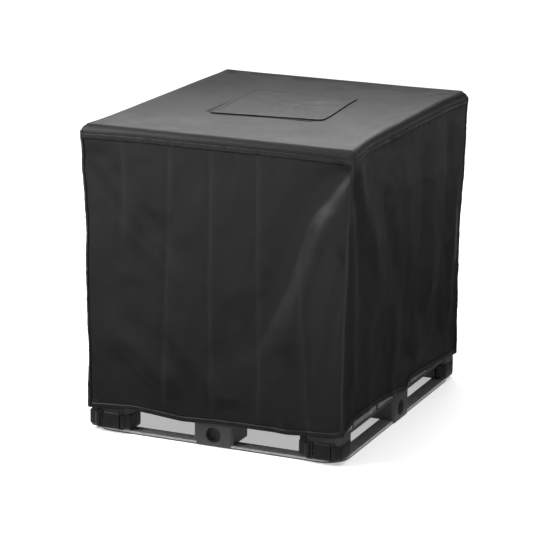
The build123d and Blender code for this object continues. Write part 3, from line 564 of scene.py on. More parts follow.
coverSpec = {
    "cuts": 105,                      # subdivisions along each edge
    "topRound": 0.030,                # roll of the top edges
    "halfWindow": (0.1905, 0.2105), "windowMargin": 0.003,
    "frontHem": [(-0.52, 0.078), (-0.32, 0.095), (-0.12, 0.078), (0.04, 0.087), (0.24, 0.090), (0.48, 0.099)],
    "rightHem": [(-0.60, 0.112), (-0.50, 0.132), (-0.28, 0.133), (-0.09, 0.119), (0.052, 0.095),
                 (0.060, 0.127), (0.16, 0.124), (0.30, 0.113), (0.44, 0.103), (0.60, 0.092)],
    "leftHem": [(-0.60, 0.084), (-0.30, 0.098), (0.05, 0.086), (0.35, 0.097), (0.60, 0.088)],
    "backHem": [(-0.52, 0.090), (-0.25, 0.100), (0.02, 0.088), (0.27, 0.098), (0.52, 0.092)],
    "cornerBlend": 0.05,              # two sides share the cloth over this distance from a corner
    "easeDrop": 0.12,                 # folds come in over this distance below the top
    "frontFolds": [
        # packing creases
        stroke([(-0.361, 1.13), (-0.365, 0.6)], 0.01, -0.0022, (0, 0.5)),
        stroke([(-0.176, 1.13), (-0.186, 0.6), (-0.2, 0.09)], 0.009, -0.0026, (0, 0.1)),
        stroke([(-0.014, 1.13), (-0.019, 0.6), (-0.008, 0.09)], 0.009, -0.0034, (0, 0)),
        stroke([(0.166, 1.13), (0.17, 0.6), (0.176, 0.09)], 0.009, -0.0026, (0, 0.1)),
        stroke([(0.32, 0.85), (0.337, 0.6), (0.37, 0.1)], 0.01, -0.003, (0.4, 0)),
        # drapes hanging from the two top corners
        stroke([(-0.5, 1.1), (-0.345, 0.857), (-0.185, 0.709), (-0.05, 0.62)],
               0.05, -0.011, (0.1, 0.5), 0.3),
        stroke([(-0.455, 1), (-0.3, 0.77), (-0.13, 0.61)], 0.045, 0.007, (0.3, 0.5)),
        stroke([(0.505, 1.12), (0.353, 0.891), (0.271, 0.65), (0.159, 0.418), (0.06, 0.26)],
               0.05, -0.014, (0.05, 0.4), -0.3),
        stroke([(0.47, 0.98), (0.39, 0.74), (0.315, 0.5), (0.22, 0.3)], 0.05, 0.01, (0.2, 0.4)),
        stroke([(0.5, 0.86), (0.455, 0.6), (0.42, 0.36), (0.4, 0.12)], 0.04, -0.009, (0.2, 0.1)),
        # swags across the lower half
        stroke([(-0.47, 0.55), (-0.36, 0.36), (-0.22, 0.24), (-0.05, 0.2)], 0.055, 0.01, (0.4, 0.4)),
        stroke([(-0.44, 0.36), (-0.3, 0.2), (-0.14, 0.11)], 0.045, -0.008, (0.4, 0.4)),
        stroke([(-0.16, 0.5), (-0.1, 0.33), (0, 0.2), (0.12, 0.13)], 0.045, 0.008, (0.4, 0.3)),
        stroke([(0.018, 0.166), (0.172, 0.136)], 0.02, -0.005, (0.3, 0.3)),
        stroke([(0.08, 0.62), (0.05, 0.42), (0.02, 0.24)], 0.045, -0.007, (0.4, 0.3)),
        stroke([(0.24, 0.42), (0.27, 0.25), (0.3, 0.1)], 0.035, 0.007, (0.4, 0)),
    ],
    "rightFolds": [
        # packing creases
        stroke([(-0.008, 1.13), (-0.01, 0.6), (0.004, 0.14)], 0.009, -0.0022, (0, 0)),
        stroke([(0.292, 1.13), (0.296, 0.6), (0.29, 0.14)], 0.009, -0.0018, (0, 0)),
        stroke([(-0.305, 1.13), (-0.3, 0.6), (-0.31, 0.14)], 0.009, -0.0018, (0, 0)),
        # drapes and swags
        stroke([(-0.585, 1.13), (-0.47, 0.95), (-0.309, 0.7), (-0.2, 0.4)], 0.045, 0.01, (0.1, 0.5)),
        stroke([(-0.59, 1.1), (-0.5, 0.8), (-0.42, 0.45)], 0.04, -0.012, (0.1, 0.5)),
        stroke([(-0.57, 1), (-0.54, 0.65), (-0.5, 0.2)], 0.035, 0.009, (0.2, 0.2)),
        stroke([(-0.215, 1.135), (-0.2, 1.09), (-0.177, 1.036)], 0.014, -0.006, (0.1, 0.4)),
        stroke([(-0.3, 1), (-0.16, 0.72), (-0.04, 0.42)], 0.05, -0.01, (0.3, 0.4)),
        stroke([(-0.02, 1.08), (0.018, 0.8), (0.06, 0.4)], 0.05, 0.009, (0.3, 0.4)),
        stroke([(0.16, 1.1), (0.17, 0.72), (0.16, 0.36)], 0.045, -0.009, (0.3, 0.4)),
        stroke([(0.3, 1.08), (0.297, 0.72), (0.27, 0.3)], 0.045, 0.009, (0.3, 0.3)),
        stroke([(0.44, 1.1), (0.43, 0.75), (0.45, 0.35)], 0.04, -0.008, (0.3, 0.3)),
        stroke([(0.55, 1.05), (0.52, 0.6), (0.5, 0.2)], 0.04, 0.007, (0.3, 0.3)),
        stroke([(-0.1, 0.45), (0.1, 0.24), (0.34, 0.18)], 0.05, 0.007, (0.4, 0.4)),
        stroke([(0.03, 0.3), (0.05, 0.2), (0.06, 0.13)], 0.02, -0.008, (0.5, 0)),
    ],
    "topFolds": [
        stroke([(0.5, -0.6), (0.4, -0.42), (0.28, -0.28)], 0.03, 0.006, (0.2, 0.4)),
        stroke([(0.47, -0.52), (0.42, -0.2), (0.34, 0.02)], 0.03, -0.006, (0.2, 0.4)),
        stroke([(-0.49, -0.58), (-0.36, -0.42), (-0.26, -0.3)], 0.03, 0.005, (0.2, 0.4)),
        stroke([(-0.5, -0.36), (-0.2, -0.42), (0.2, -0.39), (0.46, -0.44)], 0.035, -0.006, (0.2, 0.2)),
        stroke([(-0.46, -0.5), (-0.1, -0.52), (0.3, -0.5)], 0.022, 0.004, (0.3, 0.3)),
        stroke([(-0.49, 0.58), (-0.36, 0.42), (-0.27, 0.27)], 0.03, -0.006, (0.2, 0.4)),
        stroke([(-0.44, 0.05), (-0.36, 0.25), (-0.4, 0.48)], 0.028, 0.005, (0.3, 0.3)),
        stroke([(-0.3, 0.34), (-0.05, 0.4), (0.22, 0.36)], 0.028, -0.005, (0.3, 0.3)),
        stroke([(0.49, 0.58), (0.38, 0.42), (0.27, 0.3)], 0.028, 0.005, (0.2, 0.4)),
        stroke([(0.3, -0.1), (0.38, 0.1), (0.34, 0.34)], 0.025, -0.005, (0.3, 0.3)),
    ],
    "frontCreases": 5, "sideCreases": 3, "creaseWidth": 0.006,
    "frontStrength": 1.45, "rightStrength": 0.75, "backStrength": 0.8, "leftStrength": 0.9, "topStrength": 0.7,
    "swell": {"size": 0.16, "seed": 3.1, "height": 0.006}, "swellStretch": 0.45,
    "crumple": {"size": 0.045, "seed": 8.4, "depth": 2, "height": 0.0016},
    "topSwell": {"size": 0.20, "seed": 5.7, "height": 0.004},
    "topCrumple": {"size": 0.05, "seed": 1.9, "depth": 2, "height": 0.0012}, "topUneven": 0.8,
    "ear": {"spread": 0.10, "drop": 0.20, "power": 1.3, "front": 0.021, "back": 0.008, "sink": 0.006},
    "drawIn": {"from": 0.55, "to": 1.05, "x": 0.009, "y": 0.005}, "hollow": {"height": 1.06, "depth": 0.004},
    "bars": {"place": 0.190, "spread": 0.05, "dip": 0.0060, "flat": (0.020, 0.090), "above": 0.0050,
             "between": 0.0110, "edge": (0.02, 0.06), "outside": 0.012},
    "sag": {"middle": (0.25, 0.27), "from": 1.0, "to": 1.9, "edge": 0.06, "endFrom": 0.30, "endTo": 0.48,
            "endShare": 0.8},
    "tapeSink": 0.0006,               # the cloth under the tapes lies this far below the top's level
    "gather": {"size": 0.06, "seed": 2.2, "depth": 2, "height": 5, "pitch": 150, "drop": 0.055,
               "spread": 0.022, "out": 0.0014},
    "keep": {"cage": 0.0165, "pallet": 0.0095, "low": 0.16, "high": 0.36, "drop": 0.03},
}
spec = coverSpec
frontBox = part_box("cover_front")
hx, hy = frontBox[1].x, -frontBox[0].y
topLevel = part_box("cover_top")[1].z
hemLevel = frontBox[0].z
near = 1e-4

cloth = boxInEdit("coverCloth", (-hx, -hy, hemLevel), (hx, hy, topLevel))
pickFaces(cloth, lambda centre, normal: normal.z < -0.9)
dropFaces()
bpy.ops.mesh.subdivide(number_cuts=spec["cuts"])
windowX, windowY = (size + spec["windowMargin"] for size in spec["halfWindow"])
pickFaces(cloth, lambda centre, normal: normal.z > 0.9 and abs(centre.x) < windowX and abs(centre.y) < windowY)
bpy.ops.mesh.delete(type="FACE")
objectMode()

# the flat pattern is kept as a UV map in metres
cutMap = cloth.data.uv_layers.new(name="cut")
for face in cloth.data.polygons:
    for corner in face.loop_indices:
        point = cloth.data.vertices[cloth.data.loops[corner].vertex_index].co
        if abs(face.normal.z) > 0.9:
            cutMap.data[corner].uv = (point.x, point.y)
        elif abs(face.normal.y) > 0.9:
            cutMap.data[corner].uv = (point.x, point.z)
        else:
            cutMap.data[corner].uv = (point.y + 1, point.z)

flat = places(cloth)
fx, fy, fz = flat[:, 0], flat[:, 1], flat[:, 2]
sideX, sideY = np.sign(fx), np.sign(fy)
edgeX, edgeY = hx - np.abs(fx), hy - np.abs(fy)
edge = np.minimum(edgeX, edgeY)
onTop = topLevel - fz < near
onRim = (edgeX < near) | (edgeY < near)


def hemAt(where, line):
    return np.interp(where, [p[0] for p in line], [p[1] for p in line])


def sideShare(distance):
    # how much a vertex belongs to the side at this distance
    return 1 - fade(distance, 0.0, spec["cornerBlend"])


frontShare, backShare = sideShare(fy + hy), sideShare(hy - fy)
leftShare, rightShare = sideShare(fx + hx), sideShare(hx - fx)
outX, outY = leftShare + rightShare, frontShare + backShare
hem = (
    frontShare * hemAt(fx, spec["frontHem"]) + backShare * hemAt(fx, spec["backHem"])
    + leftShare * hemAt(fy, spec["leftHem"]) + rightShare * hemAt(fy, spec["rightHem"])
) / (frontShare + backShare + leftShare + rightShare + 1e-9)
z = np.where(~onTop | onRim, topLevel - (topLevel - fz) * (topLevel - hem) / (topLevel - hemLevel), fz)

# roll of the top edges, an eighth of a turn on the wall and an eighth on the top
roll = spec["topRound"]
eighth = math.pi / 4
wallTurn = np.clip((z - (topLevel - roll)) / roll, 0, 1) * eighth
topTurn = eighth * (1 + np.clip(edge / roll, 0, 1))
turn = np.where(onTop, topTurn, wallTurn)
inset = roll * (1 - np.cos(turn))
z = np.where(onTop | (z > topLevel - roll), topLevel - roll + roll * np.sin(turn), z)


def rolled(distance):
    onRoll = np.where(onTop & ~onRim, roll * (1 - np.cos(eighth * (1 + distance / roll))),
                      distance + inset * (1 - distance / roll))
    return np.where(distance < roll, onRoll, distance)


x = sideX * (hx - rolled(edgeX))
y = sideY * (hy - rolled(edgeY))


def mirrored(strokes, scale):
    return [dict(s, line=[(-u, v) for u, v in s["line"]], height=s["height"] * scale) for s in strokes]


backFolds = mirrored(spec["frontFolds"], spec["backStrength"])
leftFolds = mirrored(spec["rightFolds"], spec["leftStrength"])
drop = topLevel - z
frontShape = sculpt(fx, z, spec["frontFolds"]) * spec["frontStrength"]
rightShape = sculpt(fy, z, spec["rightFolds"]) * spec["rightStrength"]
wallX = np.where(fx > 0, rightShape, sculpt(fy, z, leftFolds))
wallY = np.where(fy > 0, sculpt(fx, z, backFolds), frontShape)
topShape = sculpt(fx, fy, spec["topFolds"])
print("folds laid")

spread = flat.copy()
spread[:, 2] *= spec["swellStretch"]
lowEase = fade(drop, 0.0, spec["easeDrop"])
wallMove = (uneven(spread, spec["swell"]) + uneven(flat, spec["crumple"])) * lowEase

# outline of the whole cover: it stands out at the top corners and draws in at the hem
ear, drawIn, hollow = spec["ear"], spec["drawIn"], spec["hollow"]
atCorner = np.exp(-(edgeX ** 2 + edgeY ** 2) / (2 * ear["spread"] ** 2))
standOut = atCorner * np.exp(-(np.clip(drop, 0, 2) / ear["drop"]) ** ear["power"])
outFront, outBack = standOut * (fy < 0), standOut * (fy > 0)
drawn = fade(drop, drawIn["from"], drawIn["to"])
bowed = np.sin(np.clip(drop / hollow["height"], 0, 1) * math.pi) * hollow["depth"]
wallOnly = np.where(onTop, 0.0, 1.0)
pushX = outX * (wallX * lowEase + wallMove - bowed - drawn * drawIn["x"])
pushY = outY * (wallY * lowEase + wallMove - bowed - drawn * drawIn["y"])
x = x + sideX * (pushX * wallOnly + outFront * ear["front"] + outBack * ear["back"])
y = y + sideY * (pushY * wallOnly + outBack * ear["back"])

# the top rests on the cage's two crossbars and dips between them and the edges
bars, sag = spec["bars"], spec["sag"]
centre = np.maximum(np.abs(fx) / sag["middle"][0], np.abs(fy) / sag["middle"][1])
free = fade(centre, sag["from"], sag["to"]) * fade(edge, 0.0, sag["edge"])
fromBar = np.abs(fy) - bars["place"]
overBars = np.exp(-(fromBar / bars["spread"]) ** 2)
atEnds = 1 - sag["endShare"] * fade(np.abs(fx), sag["endFrom"], sag["endTo"])
dip = -bars["dip"] * free * (1 - overBars) * atEnds
topMove = topShape * spec["topStrength"] + spec["topUneven"] * (
    uneven(flat, spec["topSwell"]) + uneven(flat, spec["topCrumple"]))
z = z + np.where(onTop, free * topMove + dip, 0.0) - standOut * ear["sink"]

# small sewn gathers under the top seam and at its corners
gather = spec["gather"]
pucker = np.sin((fx * outY + fy * outX) * gather["pitch"] + uneven(flat, gather))
pucker = pucker * np.exp(-((drop - gather["drop"]) / gather["spread"]) ** 2) * wallOnly * gather["out"]
x = x + sideX * outX * pucker
y = y + sideY * outY * pucker

setPlaces(cloth, np.stack([x, y, z], 1))
takeUp(cloth)
editWhole()
bpy.ops.mesh.vertices_smooth(factor=0.5, repeat=2)
objectMode()

# nothing sinks into the crossbars, the cage or the tapes below
keep = spec["keep"]
points = places(cloth)
awayFromBar = fade(np.abs(fromBar), *bars["flat"]) * fade(edge, *bars["edge"])
lowest = topLevel - bars["above"] - bars["between"] * awayFromBar
underFlap = centre < 1.0
lowest = np.where(underFlap, topLevel - spec["tapeSink"], lowest)
height = points[:, 2]
height = np.where(onTop & (edge > bars["outside"]), np.maximum(height, lowest), height)
points[:, 2] = np.where(underFlap & onTop, np.minimum(height, topLevel), height)
closer = keep["cage"] - keep["pallet"] * (1 - fade(z, keep["low"], keep["high"]))
for axis, side, reach, share in ((0, sideX, hx - closer, outX), (1, sideY, hy - closer, outY)):
    onWall = (share > 0.99) & ~onTop & (drop > keep["drop"])
    points[:, axis] = np.where(onWall, side * np.maximum(np.abs(points[:, axis]), reach), points[:, axis])
setPlaces(cloth, points)

creaseMask = np.zeros(len(flat))
for share, u, folds, count in (
        (frontShare, fx, spec["frontFolds"], spec["frontCreases"]),
        (backShare, fx, backFolds, spec["frontCreases"]),
        (rightShare, fy, spec["rightFolds"], spec["sideCreases"]),
        (leftShare, fy, leftFolds, spec["sideCreases"])):
    narrow = [dict(s, height=1.0, width=spec["creaseWidth"]) for s in folds[:count]]
    creaseMask = np.maximum(creaseMask, share * sculpt(u, z, narrow) * wallOnly)
creaseLayer = cloth.data.attributes.new("crease", "FLOAT", "POINT")
creaseLayer.data.foreach_set("value", np.clip(creaseMask, 0, 1))
bpy.ops.object.shade_smooth()
dress(cloth, coverCloth, "cover")
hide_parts("cover_top", "cover_front", "cover_back", "cover_left", "cover_right")
print("cover cloth draped")


# seams and hem, taken off the draped cloth
seamSpec = {
    "topSeam": {"thickness": 0.0016, "offset": 0.0022, "pucker": 0.0016, "seed": 4.2, "drops": (0.030, 0.056)},
    "hemFold": {"thickness": 0.0018, "offset": 0.0014, "pucker": 0.0008, "seed": 6.1, "height": 0.026},
    "cornerSeams": {"thickness": 0.0020, "offset": 0.0026, "pucker": 0.0012, "seed": 9.3, "width": 0.014,
                    "drop": 0.025},
    "puckerSize": 0.014, "inward": 0.6,
}


def bandFrom(pieceName, test):
    # test says from a face's place in the uncut pattern whether the band covers it
    spec = seamSpec[pieceName]
    band = copyOf(cloth, pieceName)
    takeUp(band)
    for part in (band.data.vertices, band.data.edges):
        part.foreach_set("select", [False] * len(part))
    for face in band.data.polygons:
        middle = Vector(flat[list(face.vertices)].mean(0))
        fromWall = min(hx - abs(middle.x), hy - abs(middle.y))
        face.select = fromWall >= 0.001 or not test(middle, spec)
    editMode()
    dropFaces()
    bpy.ops.mesh.subdivide(number_cuts=1, smoothness=0)
    selectWhole()
    bpy.ops.transform.shrink_fatten(value=spec["offset"])
    objectMode()
    points = places(band)
    normals = np.zeros(len(points) * 3)
    band.data.vertices.foreach_get("normal", normals)
    amount = softNoise(points, seamSpec["puckerSize"], spec["seed"], 2) * spec["pucker"]
    amount = np.clip(amount, -spec["offset"] * seamSpec["inward"], spec["pucker"])
    setPlaces(band, points + normals.reshape(-1, 3) * amount[:, None])
    thicken(band, spec["thickness"])
    bpy.ops.object.shade_smooth()
    dress(band, seamCloth, "cover")
    return band


def onCorner(middle, spec):
    nearX, nearY = hx - abs(middle.x) < spec["width"], hy - abs(middle.y) < spec["width"]
    return nearX and nearY and topLevel - middle.z > spec["drop"]


flange = bandFrom("topSeam", lambda middle, spec: spec["drops"][0] < topLevel - middle.z < spec["drops"][1])
hemBand = bandFrom("hemFold", lambda middle, spec: middle.z < hemLevel + spec["height"])
cornerBand = bandFrom("cornerSeams", onCorner)
print("seams sewn")


flapSpec = {
    "width": 0.425, "length": 0.465, "rounding": 0.022, "cuts": 60, "thickness": 0.0012,
    "shift": 0.030, "skew": 0.028, "skewOffset": 0.2,   # how far the free end lies off the window
    "rim": 0.012, "rimThickness": 0.0032, "rimRounding": 0.0010,
    "folds": [
        stroke([(-0.19, 0.20), (-0.05, 0.05), (0.02, -0.12)], 0.022, 0.0045, (0.2, 0.4)),
        stroke([(-0.18, 0.08), (-0.06, -0.04), (-0.02, -0.18)], 0.018, 0.0035, (0.2, 0.4)),
        stroke([(0.18, 0.20), (0.08, 0.08), (-0.06, 0.12)], 0.022, 0.0040, (0.2, 0.4)),
        stroke([(0.19, 0.02), (0.06, 0.00), (-0.08, 0.04)], 0.016, 0.0035, (0.2, 0.4)),
        stroke([(0.10, -0.20), (0.04, -0.08), (0.05, 0.06)], 0.018, 0.0030, (0.2, 0.4)),
    ],
    "wobble": {"size": 0.07, "seed": 11.0, "depth": 2, "height": 0.0016}, "edgeEase": 0.03, "edgeShare": 0.25,
}
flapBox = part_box("cover_flap")
flapLevel = (flapBox[0].z + flapBox[1].z) / 2
halfFlap = np.array([flapSpec["width"] / 2, flapSpec["length"] / 2])


def flapShape(points):
    # the free front end sits a little to the right and back of the window
    u, v = points[:, 0], points[:, 1]
    frontEnd = fade(-(v - flapBox[1].y), 0.0, flapBox[1].y - flapBox[0].y)
    moved = points.copy()
    moved[:, 0] = u + flapSpec["shift"] * frontEnd
    moved[:, 1] = v + frontEnd * (flapSpec["skew"] * (u / halfFlap[0] + flapSpec["skewOffset"]))
    lift = sculpt(u, v, flapSpec["folds"]) + np.abs(uneven(points, flapSpec["wobble"]))
    inner = fade(np.minimum(halfFlap[0] - np.abs(u), halfFlap[1] - np.abs(v)), 0.0, flapSpec["edgeEase"])
    moved[:, 2] = points[:, 2] + lift * (flapSpec["edgeShare"] + (1 - flapSpec["edgeShare"]) * inner)
    return moved


clearSelection()
bpy.ops.mesh.primitive_grid_add(x_subdivisions=flapSpec["cuts"], y_subdivisions=flapSpec["cuts"], size=1,
                                location=(0, 0, 0))
flapCloth = named("flapCloth")
editWhole()
bpy.ops.transform.resize(value=(flapSpec["width"], flapSpec["length"], 1))
bpy.ops.transform.translate(value=(0, 0, flapLevel))
objectMode()
# its corners are drawn in to a round
points = places(flapCloth)
rounding = flapSpec["rounding"]
over = np.maximum(np.abs(points[:, :2]) - (halfFlap - rounding), 0)
reach = np.hypot(over[:, 0], over[:, 1])
pull = np.where((reach > rounding) & (over.min(1) > 0), rounding / np.maximum(reach, 1e-9), 1)
inner = np.minimum(np.abs(points[:, :2]), halfFlap - rounding)
points[:, :2] = np.sign(points[:, :2]) * (inner + over * pull[:, None])
flapCut = flapCloth.data.uv_layers.new(name="cut")
for loop in flapCloth.data.loops:
    flapCut.data[loop.index].uv = points[loop.vertex_index][:2]
setPlaces(flapCloth, flapShape(points))
rim = copyOf(flapCloth, "flapBinding")
thicken(flapCloth, flapSpec["thickness"])
bpy.ops.object.shade_smooth()
dress(flapCloth, coverCloth, "flap")
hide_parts("cover_flap")

# bound edge of the flap
takeUp(rim)
for face in rim.data.polygons:
    face.select = bool((np.abs(points[list(face.vertices)][:, :2].mean(0)) <= halfFlap - flapSpec["rim"]).all())
editMode()
dropFaces()
bpy.ops.mesh.subdivide(number_cuts=1)
objectMode()
thicken(rim, flapSpec["rimThickness"], rounding=flapSpec["rimRounding"])
bpy.ops.object.shade_smooth()
dress(rim, seamCloth, "flap")
print("flap made")


# hook and loop tape on three sides of the window, the loops sewn to the cover and the hooks to the flap
tapeSpec = {"width": 0.018, "cuts": 26, "lift": 0.0003, "rounding": 0.0003, "above": 1.3}


def makeTape(nodeName, pieceName, body, shapeOf):
    low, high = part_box(nodeName)
    clearSelection()
    bpy.ops.mesh.primitive_plane_add(size=1, location=(0, 0, 0))
    piece = named(pieceName)
    editWhole()
    bpy.ops.transform.resize(value=(high.x - low.x, high.y - low.y, 1))
    bpy.ops.transform.translate(value=((low.x + high.x) / 2, (low.y + high.y) / 2, low.z))
    inLow = Vector((low.x + tapeSpec["width"], low.y + tapeSpec["width"], low.z))
    inHigh = Vector((high.x - tapeSpec["width"], high.y, low.z))
    for corner, normal in ((inLow, (1, 0, 0)), (inHigh, (1, 0, 0)), (inLow, (0, 1, 0))):
        selectWhole()
        bpy.ops.mesh.bisect(plane_co=corner, plane_no=normal)
    pickFaces(piece, lambda centre, normal: inLow.x < centre.x < inHigh.x and centre.y > inLow.y)
    dropFaces()
    bpy.ops.mesh.subdivide(number_cuts=tapeSpec["cuts"])
    objectMode()
    setPlaces(piece, shapeOf(places(piece)))
    thicken(piece, high.z - low.z, 1.0, tapeSpec["rounding"])
    smoothByAngle(piece, 40)
    dress(piece, tapeCloth, body)
    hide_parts(nodeName)
    return piece


def onCloth(points):
    # lays each point on the cover below it
    bpy.context.view_layer.update()
    laid = points.copy()
    for index, point in enumerate(points):
        above = Vector((point[0], point[1], tapeSpec["above"]))
        hit, spot, normal, face = cloth.ray_cast(above, Vector((0, 0, -1)))
        if hit:
            laid[index, 2] = spot.z + tapeSpec["lift"]
    return laid


loopTape = makeTape("loop_tape", "loopTape", "cover", onCloth)
hookTape = makeTape("hook_tape", "hookTape", "flap", flapShape)
print("tapes sewn")


# webbing belts round the corner feet
beltSpec = {
    "width": 0.050, "thickness": 0.0018, "rounding": 0.0005, "rows": 12, "step": 0.005, "fineStep": 0.0016,
    "barStart": 0.0435, "barSpan": 0.0915, "standOff": 0.010, "clear": 0.0015,
    "footWidth": 0.165, "footDepth": 0.105, "footRound": 0.022, "middle": 0.048,
    "barLoop": 0.0046, "lap": 0.018, "foot": 0.0185, "behindBar": 0.009, "beforeBar": 0.008,
    "lapLift": 0.0032, "lapClear": 0.0021, "lapEnd": 0.012, "turn": 0.003, "endInset": 0.001, "ripple": 0.0004,
    "waveSize": 0.03, "waveLift": 0.4,
    "tabWidth": 0.024, "tabTop": 0.117, "tabInset": 0.002, "tabStep": 0.004, "tabRipple": 0.0005,
}


def roundedRun(corners, radius, steps):
    # an open run of points with its inner corners rounded
    run = [Vector(corners[0])]
    for before, here, after in zip(corners, corners[1:], corners[2:]):
        here = Vector(here)
        inward = (Vector(before) - here).normalized()
        outward = (Vector(after) - here).normalized()
        reach = min(radius, (Vector(before) - here).length / 2, (Vector(after) - here).length / 2)
        for k in range(steps + 1):
            t = k / steps
            run.append((here + inward * reach) * (1 - t) ** 2 + here * 2 * t * (1 - t)
                       + (here + outward * reach) * t ** 2)
    run.append(Vector(corners[-1]))
    return run


def resample(run, step):
    lengths = [0.0]
    for a, b in zip(run, run[1:]):
        lengths.append(lengths[-1] + (b - a).length)
    count = max(2, int(lengths[-1] / step))
    us = np.linspace(0, lengths[-1], count + 1)
    xs = np.interp(us, lengths, [p.x for p in run])
    ys = np.interp(us, lengths, [p.y for p in run])
    return us, xs, ys


def tape(pieceName, us, xs, ys, low, high, seed, ripple):
    # a band of webbing that stands on edge along a path seen from above
    clearSelection()
    bpy.ops.mesh.primitive_grid_add(x_subdivisions=len(us) - 1, y_subdivisions=beltSpec["rows"], size=1,
                                    location=(0, 0, 0))
    piece = named(pieceName)
    points = places(piece)
    column = np.clip(np.rint((points[:, 0] + 0.5) * (len(us) - 1)).astype(int), 0, len(us) - 1)
    share = points[:, 1] + 0.5
    tangentX = np.gradient(xs)
    tangentY = np.gradient(ys)
    length = np.hypot(tangentX, tangentY)
    normalX = tangentY / length
    normalY = -tangentX / length
    wave = softNoise(np.stack([us, us * 0, us * 0], 1), beltSpec["waveSize"], seed, 2) * ripple
    bow = wave[column] * np.sin(share * math.pi)
    out = np.stack([xs[column] + normalX[column] * bow, ys[column] + normalY[column] * bow,
                    low + (high - low) * share + wave[column] * beltSpec["waveLift"]], 1)
    cut = piece.data.uv_layers.new(name="cut")
    for loop in piece.data.loops:
        k = loop.vertex_index
        cut.data[loop.index].uv = (us[column[k]], share[k] * (high - low))
    setPlaces(piece, out)
    thicken(piece, beltSpec["thickness"], rounding=beltSpec["rounding"])
    bpy.ops.object.shade_smooth()
    return piece


def joined(parts, pieceName):
    clearSelection()
    for part in parts:
        part.select_set(True)
    bpy.context.view_layer.objects.active = parts[0]
    bpy.ops.object.join()
    return named(pieceName)


def barLoop(centreX, direction):
    # the webbing's turn round a buckle bar, seen from above
    radius = beltSpec["barLoop"]
    return [Vector((centreX + direction * radius * math.cos(a), -beltSpec["standOff"] - radius * math.sin(a)))
            for a in np.linspace(-0.5 * math.pi, 0.5 * math.pi, 13)]


def makeBelt():
    spec = beltSpec
    face = -spec["clear"]
    start = spec["barStart"]
    end = start + spec["barSpan"]
    right = spec["footWidth"] + spec["clear"]
    back = spec["footDepth"] + spec["clear"]
    left = -spec["clear"]
    low = spec["middle"] - spec["width"] / 2
    high = spec["middle"] + spec["width"] / 2
    corners = [(start - spec["lap"], face), (left, face), (left, back), (right, back), (right, face),
               (end + spec["lap"], face)]
    body = roundedRun(corners, spec["footRound"] * 1.5, 8)
    parts = []
    us, xs, ys = resample(body, spec["step"])
    parts.append(tape("beltRound", us, xs, ys, low, high, 2.0, 0.0))
    for centreX, direction, seed in ((start, -1, 3.0), (end, 1, 5.0)):
        foot = centreX + direction * spec["foot"]
        loop = barLoop(centreX, -direction)
        # from the face up to the back of the bar, round it, and back over the belt
        loop = loop[::-1] if loop[0].y < loop[-1].y else loop
        before = (centreX + direction * spec["behindBar"], -spec["standOff"] + spec["barLoop"])
        after = (centreX + direction * spec["beforeBar"], -spec["standOff"] - spec["barLoop"])
        run = [(foot, face), before] + [(p.x, p.y) for p in loop]
        run += [after, (foot, face - spec["lapLift"]),
                (foot + direction * spec["lapEnd"], face - spec["lapClear"])]
        us, xs, ys = resample(roundedRun(run, spec["turn"], 3), spec["fineStep"])
        parts.append(tape("beltEnd", us, xs, ys, low + spec["endInset"], high - spec["endInset"], seed,
                          spec["ripple"]))
    return joined(parts, "beltModel")


beltModel = makeBelt()
# for each foot: which way its face looks, where the tab stands along it, and whether the tab is behind
feet = {"front_left": (1, 0.025, False), "front_right": (1, 0.018, False), "back_right": (1, 0.060, True),
        "back_left": (-1, 0.018, False)}


def makeTab(place, behind):
    spec = beltSpec
    y = spec["footDepth"] + spec["clear"] + spec["lapClear"] if behind else -spec["clear"] - spec["lapClear"]
    half = spec["tabWidth"] / 2 * (-1 if behind else 1)
    us, xs, ys = resample([Vector((place - half, y)), Vector((place + half, y))], spec["tabStep"])
    low = spec["middle"] - spec["width"] / 2 + spec["tabInset"]
    return tape("beltTab", us, xs, ys, low, spec["tabTop"], 7.0, spec["tabRipple"])


for cornerName, (facing, tabPlace, behind) in feet.items():
    footLow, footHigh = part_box("foot_" + cornerName)
    origin = footLow if facing > 0 else footHigh
    belt = copyOf(beltModel, "beltCopy")
    belt = joined([belt, makeTab(tabPlace, behind)], "belt_" + cornerName)
    points = places(belt)
    points[:, 0] = origin.x + facing * points[:, 0]
    points[:, 1] = origin.y + facing * points[:, 1]
    setPlaces(belt, points)
    dress(belt, webbingCloth, "container")
    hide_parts("strap_" + cornerName)
bpy.data.objects.remove(beltModel)
print("belts made")


# clips that hold the cage to the steel tray
clipSpec = {"width": 0.014, "height": 0.030, "thickness": 0.0022, "press": 0.0010, "border": 0.0022,
            "rounding": 0.0005, "below": 0.002, "clear": 0.0004,
            "sidePlaces": [-0.490, -0.250, -0.075, 0.095, 0.290, 0.500],
            "endPlaces": [-0.40, -0.20, 0.20, 0.40]}


def makeClip():
    clip = boxInEdit("clipModel", (-clipSpec["width"] / 2, 0, 0),
                     (clipSpec["width"] / 2, clipSpec["thickness"], clipSpec["height"]))
    takeUp(clip)
    editWhole()
    bpy.ops.mesh.subdivide(number_cuts=1)
    objectMode()
    pickFaces(clip, lambda centre, normal: normal.y < -0.9 and centre.z > clipSpec["height"] / 2)
    bpy.ops.mesh.inset(thickness=clipSpec["border"], depth=0.0)
    bpy.ops.transform.translate(value=(0, -clipSpec["press"], 0))
    objectMode()
    soft = clip.modifiers.new("soft", "BEVEL")
    soft.width = clipSpec["rounding"]
    soft.segments = 2
    applyAll(clip)
    smoothByAngle(clip, 35)
    return clip


